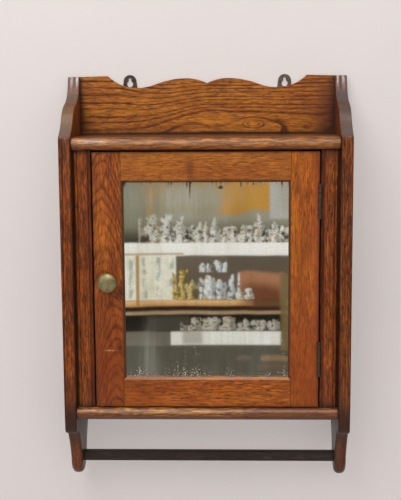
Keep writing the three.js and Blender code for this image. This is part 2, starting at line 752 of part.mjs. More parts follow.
function sheet(y, thickness) {
  return box(-mirrorHalf, mirrorHalf, y, y + thickness, -mirrorHalfHeight, mirrorHalfHeight);
}
piece(panel, "mirror_glass", sheet(mirrorY, mirrorThickness), silvered);
piece(panel, "mirror_backing", sheet(backingY, backingThickness), pine);

const beadOuter = sightHalf + mirrorRebate - fit;
const beadOuterHeight = sightHalfHeight + mirrorRebate - fit;
const beadWidth = mirrorRebate - 2 * fit;
for (const [name, upper] of [["top", 1], ["bottom", -1]]) {
  const zs = [upper * beadOuterHeight, upper * (beadOuterHeight - beadWidth)].sort((a, b) => a - b);
  piece(panel, `mirror_bead_${name}`, box(-beadOuter, beadOuter, beadY, beadY + beadThickness, ...zs), oak);
}
for (const [name, hand] of [["left", -1], ["right", 1]]) {
  const xs = [hand * beadOuter, hand * (beadOuter - beadWidth)].sort((a, b) => a - b);
  const half = beadOuterHeight - beadWidth - fit;
  piece(panel, `mirror_bead_${name}`, box(...xs, beadY, beadY + beadThickness, -half, half), oak);
}

// ---------------------------------------------------------------- door: hinge leaves

for (const { name, z } of hinges) {
  const hinge = new THREE.Group();
  hinge.position.set(0, 0, z);
  piece(hinge, `hinge_${name}_door_leaf`, cut(
    leaf(doorEdge - leafThickness, doorEdge, (i) => !isFrameKnuckle(i)),
    ...leafScrewZs.map((dz) => screwHole(hingeScrew, "+x", doorEdge, leafScrewY, dz)),
  ), hingeSteel);
  leafScrewZs.forEach((dz, index) => {
    const screwName = `hinge_${name}_door_screw_${index + 1}`;
    addScrew(hinge, screwName, hingeScrew, "+x", doorEdge - fit, leafScrewY, dz, hingeSteel);
  });
  door.add(hinge);
}

// ---------------------------------------------------------------- door: knob and turn latch

piece(panel, "knob_rose", cut(
  rod("y", roseRadius, -roseThickness, 0, knobX, 0),
  rod("y", spindleRadius + running, -roseThickness - 1, 1, knobX, 0),
), brass);

// The latch's own frame: the spindle's axis is y, measured from the door's front face inwards.
const latch = new THREE.Group();
latch.position.set(knobX, 0, 0);
panel.add(latch);

function knobBody() {
  const base = roseThickness + fit;
  const rim = knobHeight - knobRim.drop;
  const domeBase = rim + knobRim.height;
  const points = [[0, base + knobBore], [spindleRadius + fit, base + knobBore], [spindleRadius + fit, base]];
  points.push([knobNeck + 1.2, base], [knobNeck, base + 2.5], [knobNeck, base + 5], [knobNeck + 2.6, base + 8]);
  points.push([knobRadius - 2, rim - 1.6], [knobRadius, rim], [knobRadius, domeBase]);
  const domeRise = knobHeight - domeBase;
  for (let i = 1; i < curveSteps; i++) {
    const angle = (Math.PI / 2) * (i / curveSteps);
    points.push([knobRadius * Math.cos(angle), domeBase + domeRise * Math.sin(angle)]);
  }
  points.push([0, knobHeight]);
  const geometry = new THREE.LatheGeometry(points.map(([r, h]) => new THREE.Vector2(r, h)), roundSteps);
  geometry.rotateX(Math.PI);
  return solid(geometry);
}
const knobSocket = roseThickness + knobBore;
const tongueY = doorThickness + tongueStandoff;
const nutY = tongueY + tongueThickness + fit;
const spindleEnd = nutY + nut.thickness + 1;

function tongueBody() {
  const shape = new THREE.Shape();
  const half = tongueWidth / 2;
  shape.moveTo(half, 0);
  shape.absarc(0, 0, half, 0, Math.PI, false);
  shape.lineTo(-half, -tongueReach + tongueCorner);
  shape.lineTo(-half + tongueCorner, -tongueReach);
  shape.lineTo(half - tongueCorner, -tongueReach);
  shape.lineTo(half, -tongueReach + tongueCorner);
  shape.closePath();
  const blade = prismY(shape, tongueY, tongueY + tongueThickness);
  return cut(blade, rod("y", spindleRadius + fit, tongueY - 1, nutY));
}
function nutBody() {
  const geometry = new THREE.CylinderGeometry(nut.acrossCorners / 2, nut.acrossCorners / 2, nut.thickness, 6);
  geometry.translate(0, nutY + nut.thickness / 2, 0);
  return cut(solid(geometry), rod("y", spindleRadius + fit, nutY - 1, nutY + nut.thickness + 1));
}
piece(latch, "knob", knobBody(), brass);
piece(latch, "latch_spindle", rod("y", spindleRadius, -knobSocket, spindleEnd), hingeSteel);
piece(latch, "latch_tongue", tongueBody(), brass);
piece(latch, "latch_nut", nutBody(), brass);

export default cabinet;
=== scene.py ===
# %% [markdown]
# # Dressing a wall cabinet with a mirror door
#
# The cabinet is already drawn as 54 separate solids that stand in their real places. This lesson loads them
# as a frame that must not move, rounds over the boards as use has done, and gives every piece its finish:
# old varnished oak, tarnished brass, blued iron and a mirror whose silver is going.

# %% Load the frame
import json
import math

import bmesh
import bpy
import numpy as np
from mathutils import Matrix, Vector

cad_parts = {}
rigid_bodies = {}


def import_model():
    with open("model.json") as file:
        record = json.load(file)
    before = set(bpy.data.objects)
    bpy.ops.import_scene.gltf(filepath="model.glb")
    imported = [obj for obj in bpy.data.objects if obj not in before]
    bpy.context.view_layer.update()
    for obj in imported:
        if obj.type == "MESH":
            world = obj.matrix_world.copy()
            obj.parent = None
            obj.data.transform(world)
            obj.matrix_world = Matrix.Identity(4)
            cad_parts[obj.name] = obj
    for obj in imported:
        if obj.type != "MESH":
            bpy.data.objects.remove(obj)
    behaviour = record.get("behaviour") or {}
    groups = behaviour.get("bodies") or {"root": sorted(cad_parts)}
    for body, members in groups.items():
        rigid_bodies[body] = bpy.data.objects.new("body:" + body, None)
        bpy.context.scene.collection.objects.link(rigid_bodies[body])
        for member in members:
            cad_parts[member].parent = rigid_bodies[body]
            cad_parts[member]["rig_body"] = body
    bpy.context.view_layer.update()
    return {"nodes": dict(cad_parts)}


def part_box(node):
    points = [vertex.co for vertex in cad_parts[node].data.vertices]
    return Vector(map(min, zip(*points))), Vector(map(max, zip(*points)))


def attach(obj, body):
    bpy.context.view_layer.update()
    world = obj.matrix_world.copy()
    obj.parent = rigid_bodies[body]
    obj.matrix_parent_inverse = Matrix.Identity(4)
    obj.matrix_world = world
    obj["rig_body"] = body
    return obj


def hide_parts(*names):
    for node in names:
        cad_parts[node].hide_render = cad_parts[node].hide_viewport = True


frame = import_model()
nodes = frame["nodes"]
MM = 0.001


def body_of(name):
    """The moving body that a drawn piece belongs to."""
    return nodes[name]["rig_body"]


def placed(name, data):
    """A new object, linked into the scene."""
    thing = bpy.data.objects.new(name, data)
    bpy.context.scene.collection.objects.link(thing)
    return thing


# %% [markdown]
# ## Light and camera
#
# A cabinet is best seen hanging, so a plain pale wall stands close behind it. The wall only shows from the
# front: from behind it lets every ray through, and the back boards can be looked at. One large soft lamp
# hangs in front, above and a little to the left, and one under the ceiling. A weak third lamp and the sky
# fill in the rest.
#
# A mirror needs something to reflect. Only mirror-like rays see the room that stands opposite: a grey-green
# wall with an ochre panel, two pale shelves and a wooden one, books, and rows of china that nobody could
# name. All of it is worked out by direction, so it needs no pieces of its own.

# %% Colours are written the way a paint chart gives them
def paint(red, green, blue):
    """A colour given as 0 to 255 screen values, turned into the linear values that nodes work with."""
    screen = np.array([red, green, blue]) / 255
    linear = np.where(screen <= 0.04045, screen / 12.92, ((screen + 0.055) / 1.055) ** 2.4)
    return (*[float(v) for v in linear], 1.0)


print("mid grey", round(paint(128, 128, 128)[0], 3), "as light")


# %% Arithmetic on sockets
def node(tree, kind):
    return tree.nodes.new("ShaderNode" + kind)


class Flow:
    """A number on its way through a node tree. Plain arithmetic on it adds Math nodes."""

    def __init__(self, tree, socket):
        self.tree, self.socket = tree, socket

    def math(self, operation, *others):
        step = node(self.tree, "Math")
        step.operation = operation
        for place, value in zip(step.inputs, (self, *others)):
            feed(place, value)
        return Flow(self.tree, step.outputs[0])

    def __rsub__(self, other):
        return (self * -1.0) + other

    def abs(self):
        return self.math("ABSOLUTE")

    def between(self, low, high, start=0.0, end=1.0):
        """Rises smoothly from start to end while the number goes from low to high."""
        step = node(self.tree, "MapRange")
        step.interpolation_type = "SMOOTHSTEP"
        for place, value in zip(step.inputs, (self, low, high, start, end)):
            feed(place, value)
        return Flow(self.tree, step.outputs[0])


for name, operation in (("add", "ADD"), ("sub", "SUBTRACT"), ("mul", "MULTIPLY"), ("truediv", "DIVIDE"),
                        ("pow", "POWER")):
    setattr(Flow, f"__{name}__", lambda self, other, operation=operation: self.math(operation, other))
Flow.__radd__, Flow.__rmul__ = Flow.__add__, Flow.__mul__


def feed(place, value):
    """Links a Flow into a socket, or writes a plain value on it."""
    if isinstance(value, Flow):
        value.tree.links.new(value.socket, place)
    else:
        place.default_value = value


def vector(tree, x, y, z):
    step = node(tree, "CombineXYZ")
    for place, value in zip(step.inputs, (x, y, z)):
        feed(place, value)
    return Flow(tree, step.outputs[0])


def parts_of(tree, flow):
    step = node(tree, "SeparateXYZ")
    feed(step.inputs[0], flow)
    return [Flow(tree, out) for out in step.outputs]


def noise(tree, where, scale, detail=2.0, roughness=0.5):
    """Soft clouds between 0 and 1, about 0.5 on average."""
    step = node(tree, "TexNoise")
    feed(step.inputs["Vector"], where)
    for key, value in (("Scale", scale), ("Detail", detail), ("Roughness", roughness)):
        step.inputs[key].default_value = value
    return Flow(tree, step.outputs["Fac"])


def blend(tree, share, one, other):
    """Mixes two colours by a share from 0, the first, to 1, the second."""
    step = node(tree, "Mix")
    step.data_type, step.clamp_factor = "RGBA", True
    feed(step.inputs["Factor"], share)
    feed(step.inputs[6], one)
    feed(step.inputs[7], other)
    return Flow(tree, step.outputs[2])


def ramp(tree, flow, stops, curve="EASE"):
    """Colours laid out along a number, as (place, colour) pairs in paint chart values."""
    step = node(tree, "ValToRGB")
    step.color_ramp.interpolation = curve
    elements = step.color_ramp.elements
    while len(elements) < len(stops):
        elements.new(0.5)
    for element, (place, colour) in zip(elements, stops):
        element.position, element.color = place, paint(*colour)
    feed(step.inputs[0], flow)
    return Flow(tree, step.outputs["Color"])


print("node helpers ready")

# %% Wall, shelves and floor of the room
# Each band is (height in degrees above the horizon, colour), from the floor up.
BANDS = (
    (-15.5, (86, 84, 74)), (-13.36, (90, 87, 76)), (-13.3, (116, 113, 102)), (-12.65, (110, 107, 96)),
    (-12.58, (44, 40, 34)), (-11.78, (34, 30, 26)), (-11.73, (176, 150, 122)), (-11.61, (166, 140, 112)),
    (-11.55, (38, 32, 27)), (-11.36, (42, 34, 27)), (-11.31, (190, 140, 90)), (-11.1, (226, 186, 136)),
    (-11.03, (200, 152, 102)), (-10.97, (96, 82, 64)), (-8.8, (110, 100, 86)), (-8.73, (236, 234, 230)),
    (-8.12, (242, 242, 238)), (-8.07, (58, 54, 45)), (-7.7, (90, 86, 72)), (-6.9, (152, 149, 132)),
    (-6.0, (158, 156, 140)),
)
LOWEST, HIGHEST = BANDS[0][0], BANDS[-1][0]
UPPER_SHELF, MIDDLE_SHELF, LOWER_SHELF = -8.1, -11.0, -12.58
print("bands", len(BANDS), "from", LOWEST, "to", HIGHEST, "degrees")

# %% Single things in the room, as soft blocks
# (from turn, to turn), (from height, to height), colour, share, soft edge, raggedness
BLOCKS = (
    ((-9.0, -4.6), (-7.3, 3.0), (128, 128, 108), 0.7, 0.08, 0.0),  # the wall left of the panel
    ((1.75, 3.6), (-6.9, -3.0), (186, 184, 180), 0.8, 0.1, 0.0),  # the wall right of it
    ((-0.4, 3.0), (-9.75, -8.8), (96, 86, 74), 0.9, 0.05, 0.0),  # shade under the upper shelf
    ((0.1, 2.5), (-11.05, -9.62), (172, 120, 88), 0.9, 0.12, 5.0),  # a clay jar, painted as its lit side
    ((0.3, 2.5), (-11.3, -10.3), (104, 62, 44), 0.85, 0.35, 6.0),  # its dark foot
    ((0.9, 2.6), (-11.4, -11.0), (96, 66, 46), 0.8, 0.1, 0.0),  # and its shade on the shelf
    ((-3.4, 2.36), (-13.31, -12.63), (240, 241, 241), 0.95, 0.05, 0.0),  # edge of the lower shelf
    ((-2.8, -1.75), (-13.28, -12.6), (140, 138, 126), 0.6, 0.15, 0.0),  # a shade across the edge
    ((-4.6, -2.4), (-12.6, -11.86), (92, 88, 80), 0.6, 0.15, 0.0),  # painted shade in the corner over it
    ((1.3, 2.9), (-14.12, -13.85), (158, 128, 98), 0.7, 0.08, 3.0),  # brown things near the floor
    ((1.1, 2.9), (-14.5, -14.25), (118, 92, 72), 0.6, 0.1, 3.0),
    ((0.0, 0.8), (-14.1, -13.9), (130, 114, 96), 0.6, 0.15, 3.0),
    ((-5.95, -3.1), (-11.02, -8.74), (238, 236, 220), 0.95, 0.05, 0.0),  # pale books
    ((-5.18, -5.0), (-11.3, -8.74), (178, 132, 66), 0.9, 0.03, 0.0),  # a golden back among them
    ((-5.95, -2.7), (-8.72, -8.62), (170, 146, 96), 0.8, 0.03, 0.0),  # painted shade along their tops
)
JAR_AT_THE_EDGE = ((2.3, 3.4), (-13.6, -9.7), (124, 106, 74), 0.9, 0.1, 2.0)
print("blocks", len(BLOCKS) + 1)

# %% Rows of china
CHINA = ((0.1, (52, 46, 38)), (0.3, (140, 128, 108)), (0.42, (226, 224, 216)), (0.6, (206, 212, 210)),
         (0.75, (240, 236, 228)), (0.95, (176, 148, 112)))
GOLDEN = ((0.1, (120, 108, 52)), (0.35, (190, 158, 62)), (0.55, (222, 188, 84)), (0.72, (216, 214, 190)),
          (0.8, (130, 136, 120)))
BLUE = ((0.1, (110, 118, 122)), (0.32, (164, 176, 186)), (0.5, (232, 234, 234)), (0.7, (196, 206, 216)),
        (0.85, (240, 238, 230)))
# foot, crown, pieces per degree, (from turn, to turn), colours, share, seed of the dice
ROWS = (
    (UPPER_SHELF, -6.6, 1.3, (-5.0, 3.4), CHINA, 0.8, 3.0),
    (UPPER_SHELF, -7.15, 2.3, (-4.3, 3.4), CHINA, 0.95, 7.5),
    (MIDDLE_SHELF, -9.3, 1.6, (-3.3, -1.4), GOLDEN, 0.95, 17.0),
    (-9.62, -8.95, 2.6, (-1.9, -0.45), BLUE, 0.95, 36.0),
    (MIDDLE_SHELF, -9.35, 1.9, (-1.9, 0.2), BLUE, 0.95, 12.0),
    (MIDDLE_SHELF, -10.3, 2.4, (0.1, 0.95), CHINA, 0.9, 21.0),
    (LOWER_SHELF, -11.8, 1.2, (-2.9, 2.3), CHINA, 0.7, 29.0),
)


def crowd(tree, room, turn, height, foot, crown, per_degree, span, colours, share, seed):
    """China and bottles crowded on a shelf. Each stands in its own column, and the column's dice give its
    height, its waist and its colour: half width = (0.5 + 0.1 sin(rise x bends)) x root of (1 - rise to the
    fourth), where rise goes from 0 at the foot to 1 at the top. All heights and turns are in degrees."""
    uneven = (noise(tree, vector(tree, turn * 1.7, height * 0.6, seed), 1.0, 2.0) - 0.5) * 2.2
    place = turn * per_degree + uneven
    dice = node(tree, "TexWhiteNoise")
    dice.noise_dimensions = "1D"
    feed(dice.inputs["W"], place.math("FLOOR") + seed)
    tall, tint, shape = parts_of(tree, Flow(tree, dice.outputs["Color"]))
    speckle = noise(tree, vector(tree, turn * 4.6, height * 4.8, seed), 1.0, 3.0, 0.6)
    rise = (height - foot) / ((1.0 - tall * 0.5) * (crown - foot))
    waist = (rise * (shape * 7.0 + 5.0) + tint * 6.0).math("SINE") * 0.1
    closing = (1.0 - rise.math("MAXIMUM", 0.0) ** 4.0).math("MAXIMUM", 0.0).math("SQRT")
    half = (waist + 0.5) * closing + (speckle - 0.5) * 0.3
    inside = half - (place.math("FRACT") - 0.5).abs()
    body = inside.between(0.0, 0.09) * rise.between(-0.03, 0.03) * rise.between(1.04, 0.96)
    body = body * turn.between(span[0] - 0.05, span[0] + 0.05) * turn.between(span[1] + 0.05, span[1] - 0.05)
    colour = ramp(tree, tint * 0.3 + speckle.between(0.3, 0.68) * 0.85 - 0.06, colours)
    shadow = place.math("FRACT").between(0.45, 0.85) * 0.5
    outline = inside.between(0.16, 0.02) * 0.55
    colour = blend(tree, shadow.math("MAXIMUM", outline), colour, paint(70, 60, 48))
    return blend(tree, body * share, room, colour)


print("rows of china", len(ROWS))


# %% The whole room
def room_colour(tree):
    """Colour by direction, in degrees of height above the horizon and of turn to the side. A ramp over the
    height lays out wall, shelves and floor, and china and books stand on them. The ramp is kept short,
    because Cycles reads every ramp from a table of 256 entries and a long one goes soft."""
    gaze = Flow(tree, node(tree, "TexCoord").outputs["Generated"])
    east, north, up = parts_of(tree, gaze)
    height = up.math("ARCSINE") * (180 / math.pi)
    turn = east.math("ARCTAN2", north * -1.0) * (180 / math.pi)
    wobble = (noise(tree, vector(tree, turn * 0.6, height * 0.5, 0.0), 1.0, 2.0) - 0.5) * 0.1
    stops = [((place - LOWEST) / (HIGHEST - LOWEST), colour) for place, colour in BANDS]
    room = ramp(tree, (height + wobble - LOWEST) / (HIGHEST - LOWEST), stops, curve="LINEAR")
    room = blend(tree, height.between(-4.0, 20.0) * 0.8, room, paint(136, 134, 128))

    def block(turns, heights, colour, share, edge, ragged):
        """A soft-edged block of one colour, laid over the room as it is so far."""
        (left, right), (bottom, top) = turns, heights
        t, h = turn + wobble * ragged, height + wobble * ragged
        inside = t.between(left - edge, left + edge) * t.between(right + edge, right - edge)
        inside = inside * h.between(bottom - edge, bottom + edge) * h.between(top + edge, top - edge)
        return blend(tree, inside * share, room, paint(*colour))

    # An oval veil of grey olive hides a part of the ochre panel.
    drift = wobble * 14.0
    veiled = ((turn + 2.5 + drift) / 1.85) ** 2 + ((height + 6.0 + drift) / 1.2) ** 2
    across = turn.between(-4.6, -4.5) * turn.between(1.78, 1.7)
    panel = across * (height + wobble * 9.0).between(-6.75, -6.4)
    room = blend(tree, panel * 0.85, room, paint(150, 142, 114))
    room = blend(tree, panel * veiled.between(0.6, 1.2, 0.0, 0.98), room, paint(192, 142, 62))
    for settings in BLOCKS:
        room = block(*settings)
    marks = noise(tree, vector(tree, turn * 3.4, height * 1.8, 2.0), 1.0, 3.0, 0.6)
    pages = turn.between(-5.8, -5.7) * turn.between(-3.05, -3.2)
    pages = pages * height.between(-11.0, -10.9) * height.between(-8.76, -8.9)
    each_book = (turn * 9.0).math("SINE").between(0.2, 0.9, 0.25, 1.0)
    room = blend(tree, pages * marks.between(0.4, 0.62) * each_book * 0.7, room, paint(128, 146, 144))
    for settings in ROWS:
        room = crowd(tree, room, turn, height, *settings)
    return block(*JAR_AT_THE_EDGE)


world = bpy.data.worlds.new("studio")
bpy.context.scene.world = world
world.use_nodes = True
sky = world.node_tree
sky.nodes.clear()
room = room_colour(sky)
print("room", len(sky.nodes), "nodes")

# %% Who sees the room and who sees a plain pale sky
PALE = paint(226, 222, 220)
FILL_STRENGTH, SHOWN_STRENGTH = 0.56, 1.0
rays = node(sky, "LightPath")
seen = blend(sky, Flow(sky, rays.outputs["Is Glossy Ray"]), PALE, room)
fill, shown = node(sky, "Background"), node(sky, "Background")
for background, strength in ((fill, FILL_STRENGTH), (shown, SHOWN_STRENGTH)):
    feed(background.inputs["Color"], seen)
    feed(background.inputs["Strength"], strength)
pick = node(sky, "MixShader")
plain_view = Flow(sky, rays.outputs["Is Camera Ray"])
for kind in ("Glossy", "Transmission"):
    plain_view = plain_view.math("MAXIMUM", Flow(sky, rays.outputs[f"Is {kind} Ray"]))
feed(pick.inputs[0], plain_view)
sky.links.new(fill.outputs[0], pick.inputs[1])
sky.links.new(shown.outputs[0], pick.inputs[2])
result = node(sky, "OutputWorld")
sky.links.new(pick.outputs[0], result.inputs["Surface"])
print("sky strength", FILL_STRENGTH, "as light and", SHOWN_STRENGTH, "as seen")


# %% Materials: the shader's own sockets
def new_material(name):
    material = bpy.data.materials.new(name)
    material.use_nodes = True
    tree = material.node_tree
    tree.nodes.clear()
    shader = node(tree, "BsdfPrincipled")
    out = node(tree, "OutputMaterial")
    tree.links.new(shader.outputs[0], out.inputs["Surface"])
    return material, tree, shader


def object_place(tree):
    """Where a point of the piece is, in metres, as three numbers."""
    return parts_of(tree, Flow(tree, node(tree, "TexCoord").outputs["Object"]))


RELIEF_STRENGTH = 0.35


def relief(tree, shader, height, depth):
    """Feeds a height between 0 and 1 to the shader's normal as a bump that is depth metres deep."""
    step = node(tree, "Bump")
    feed(step.inputs["Strength"], RELIEF_STRENGTH)
    feed(step.inputs["Distance"], depth)
    feed(step.inputs["Height"], height)
    tree.links.new(step.outputs[0], shader.inputs["Normal"])


print("shader helpers ready")


# %% Wall and floor
def flat_sheet(name, corners):
    mesh = bpy.data.meshes.new(name)
    mesh.from_pydata(corners, [], [(0, 1, 2, 3)])
    sheet = placed(name, mesh)
    return sheet


def plaster(name, colour, one_sided, glow=0.0):
    """Plain matt paint. A one-sided wall shows only to camera rays that meet its front. glow is the share of
    its colour that it gives off by itself to the camera, which thins the shadows on it."""
    material, tree, shader = new_material(name)
    x, y, z = object_place(tree)
    cloud = noise(tree, vector(tree, x, y, z), 2.5, 3.0)
    darker = tuple(0.93 * c for c in colour[:3]) + (1.0,)
    tint = blend(tree, cloud.between(0.3, 0.7, 0.0, 0.5), colour, darker)
    feed(shader.inputs["Base Color"], tint)
    feed(shader.inputs["Roughness"], 0.9)
    feed(shader.inputs["Specular IOR Level"], 0.2)
    feed(shader.inputs["Emission Strength"], glow)
    feed(shader.inputs["Emission Color"], tint)
    if one_sided:
        rays = node(tree, "LightPath")
        side = node(tree, "NewGeometry")
        clear = node(tree, "BsdfTransparent")
        mix = node(tree, "MixShader")
        front = 1.0 - Flow(tree, side.outputs["Backfacing"])
        feed(mix.inputs[0], front * Flow(tree, rays.outputs["Is Camera Ray"]))
        tree.links.new(clear.outputs[0], mix.inputs[1])
        tree.links.new(shader.outputs[0], mix.inputs[2])
        tree.links.new(mix.outputs[0], tree.nodes["Material Output"].inputs["Surface"])
    return material


# In metres: half width, floor and top of the wall, front and back of the floor, and where the wall stands
HALF, FLOOR_Z, WALL_TOP, FRONT, BACK, WALL_Y = 2.4, -0.95, 1.3, -1.5, 1.2, 0.8 * MM
wall = flat_sheet("wall", [(-HALF, WALL_Y, FLOOR_Z), (HALF, WALL_Y, FLOOR_Z), (HALF, WALL_Y, WALL_TOP),
                           (-HALF, WALL_Y, WALL_TOP)])
wall.data.materials.append(plaster("wall paint", paint(174, 168, 166), True, 0.75))
floor = flat_sheet("floor", [(-HALF, FRONT, FLOOR_Z), (HALF, FRONT, FLOOR_Z), (HALF, BACK, FLOOR_Z),
                             (-HALF, BACK, FLOOR_Z)])
floor.data.materials.append(plaster("floor paint", paint(214, 208, 204), False))
print("wall", 2 * HALF, "m wide, floor at", FLOOR_Z, "m")


# %% Lamps
def soft_lamp(name, place, target, size, power):
    """A square area lamp that looks at a point."""
    lamp = bpy.data.lights.new(name, "AREA")
    lamp.shape, lamp.size, lamp.energy = "SQUARE", size, power
    holder = placed(name, lamp)
    holder.location = place
    holder.rotation_euler = (Vector(target) - Vector(place)).to_track_quat("-Z", "Y").to_euler()
    return holder


soft_lamp("key lamp", (-0.8, -2.1, 1.1), (0, -0.05, -0.3), 1.3, 20)
soft_lamp("ceiling lamp", (-0.2, -0.95, 1.55), (0, -0.05, -0.2), 1.7, 27)
soft_lamp("front fill", (0.9, -2.6, 0.1), (0, -0.05, -0.3), 1.6, 9).visible_glossy = False

# %% Camera
CAMERA_PLACE = (0.04674, -1.87496, -0.00542)
PITCH, YAW, ROLL = 0.1481, -0.0318, 0.0067
LONG_SIDE_MM, LENS_MM = 36.0, 80.79
ahead = Vector((math.sin(YAW) * math.cos(PITCH), math.cos(YAW) * math.cos(PITCH), -math.sin(PITCH)))
level = Vector((math.cos(YAW), -math.sin(YAW), 0.0))
down = ahead.cross(level)
right = math.cos(ROLL) * level + math.sin(ROLL) * down
down = -math.sin(ROLL) * level + math.cos(ROLL) * down
camera = placed("camera", bpy.data.cameras.new("camera"))
camera.data.lens, camera.data.sensor_width = LENS_MM, LONG_SIDE_MM
turned_to = Matrix((right, -down, -ahead)).transposed().to_4x4()
camera.matrix_world = Matrix.Translation(CAMERA_PLACE) @ turned_to
bpy.context.scene.camera = camera
bpy.context.scene.view_settings.view_transform = "Standard"
print("camera looks down by", round(math.degrees(PITCH), 1), "degrees")

# %% [markdown]
# ## Oak
#
# A board is a slice through a bundle of cones: the yearly rings, wide at the foot of the tree and narrow at
# its top. Straight lines, pointed arches and closed eyes on a board are all the same rings, cut at
# different places. Stripes laid on each face would be quicker, but they'd break off at every edge. So the
# oak here is worked out in space: every point knows its distance from the heart of the tree, and the
# distance counted in ring widths says which ring it is in. All faces of a board then agree, end grain too.
# Each ring starts with a band of open pores, which holds the dark stain.


# %% The grain, one node group for all boards
OUTLETS = ("Line", "Fibre", "Pore", "Cloud", "Streak", "Dash", "Mottle")


def oak_group():
    """Ring number = (distance from the heart - taper x length + slow bends) / ring width. Its fraction goes
    from 0 where a ring starts to 1 where it ends, and the dark porous band sits at its start."""
    tree = bpy.data.node_groups.new("oak grain", "ShaderNodeTree")
    wanted = [
        ("Along", 0.0), ("Across", 0.0), ("Deep", 0.0), ("Heart across", 0.0), ("Heart deep", 0.02),
        ("Swell", 0.0), ("Fan", 1.0), ("Ring", 0.003), ("Taper", 0.02), ("Sway", 0.001), ("Band", 0.35),
        ("Seed", 0.0),
    ]
    for name, value in wanted:
        tree.interface.new_socket(name, in_out="INPUT", socket_type="NodeSocketFloat").default_value = value
    for name in OUTLETS:
        tree.interface.new_socket(name, in_out="OUTPUT", socket_type="NodeSocketFloat")
    source = tree.nodes.new("NodeGroupInput")
    g = {name: Flow(tree, source.outputs[name]) for name, _ in wanted}
    along, across, deep, seed = g["Along"], g["Across"], g["Deep"], g["Seed"]

    def stretched(per_metre, lengthwise, detail=2.0, roughness=0.5, shift=0.0):
        """Noise whose clouds are drawn out along the grain."""
        place = (across * per_metre + seed, deep * per_metre + shift, along * lengthwise + seed * 1.7)
        return noise(tree, vector(tree, *place), 1.0, detail, roughness)

    a, d = (across - g["Heart across"]) * g["Fan"], deep - g["Heart deep"]
    radius = (a * a + d * d).math("SQRT") - g["Taper"] * along + g["Swell"]
    sway = g["Sway"]
    for per_metre, lengthwise, shift, share in ((15, 5, 0.0, 4.0), (60, 20, 3.0, 2.0), (210, 70, 5.0, 1.1)):
        radius = radius + (stretched(per_metre, lengthwise, shift=shift) - 0.5) * sway * share
    rings = radius / g["Ring"]
    uneven = node(tree, "TexNoise")
    uneven.noise_dimensions = "1D"
    feed(uneven.inputs["W"], rings * 0.55 + seed)
    uneven.inputs["Scale"].default_value, uneven.inputs["Detail"].default_value = 1.0, 0.0
    rings = rings + (Flow(tree, uneven.outputs["Fac"]) - 0.5) * 0.9
    part = rings.math("FRACT")
    number = rings.math("FLOOR")
    dice = node(tree, "TexWhiteNoise")
    dice.noise_dimensions = "1D"
    feed(dice.inputs["W"], number + seed)
    strength = Flow(tree, dice.outputs["Value"]) * 0.5 + 0.5
    width = g["Band"] * (stretched(120, 35, shift=9.0) + 0.5)
    band = part.between(0.0, 0.12) * part.between(width + 0.14, width * 0.6)
    pores = stretched(1700, 140, 1.0, shift=11.0)
    fibre = stretched(600, 70, 3.0, 0.65, shift=17.0)
    cloud = stretched(24, 6, 2.0, shift=23.0)
    streak = stretched(380, 50, 3.0, 0.6, shift=31.0)
    patchy = stretched(150, 28, 2.0, shift=29.0).between(0.30, 0.58, 0.45, 1.0)
    dash = stretched(420, 90, 1.0, shift=37.0).between(0.57, 0.67)
    mottle = stretched(95, 24, 3.0, 0.6, shift=43.0).between(0.36, 0.64)
    line = band * strength * patchy * (pores.between(0.34, 0.56) * 0.3 + 0.7)
    pore = pores.between(0.60, 0.70) * (band * 0.7 + 0.3)
    out = tree.nodes.new("NodeGroupOutput")
    for name, flow in zip(OUTLETS, (line, fibre, pore, cloud, streak, dash, mottle)):
        feed(out.inputs[name], flow)
    return tree


OAK = oak_group()
print("grain group", len(OAK.nodes), "nodes")


# %% One board's oak
# The colour of painted shade and of grime.
SHADE_AND_GRIME = paint(34, 22, 16)
VARNISH, VARNISH_ROUGHNESS = 0.10, 0.22
PORE_DEPTH = 0.2 * MM


def soft_spot(place, centre, reach):
    """1 at the centre, fading to 0 as exp(-(distance / reach) squared), with its own reach in each direction.
    A direction whose reach is None doesn't count."""
    total = None
    for flow, middle, wide in zip(place, centre, reach):
        if wide is None:
            continue
        step = (flow - middle * MM) / (wide * MM)
        total = step * step if total is None else total + step * step
    return (total * -1.0).math("EXPONENT")


def spots(rows):
    """A row is (centre, reach, what it does), or (x, z, reach in x, reach in z, what it does) where the depth
    doesn't count. The short rows are written out."""
    return [row if isinstance(row[0], tuple) else ((row[0], 0, row[1]), (row[2], None, row[3]), *row[4:])
            for row in rows]


def drifting(along, start_value, moves):
    """A value that changes along the board: each move adds its change between two places, in mm."""
    value = start_value
    for start, end, change in moves:
        value = along.between(start * MM, end * MM, 0.0, change) + value
    return value


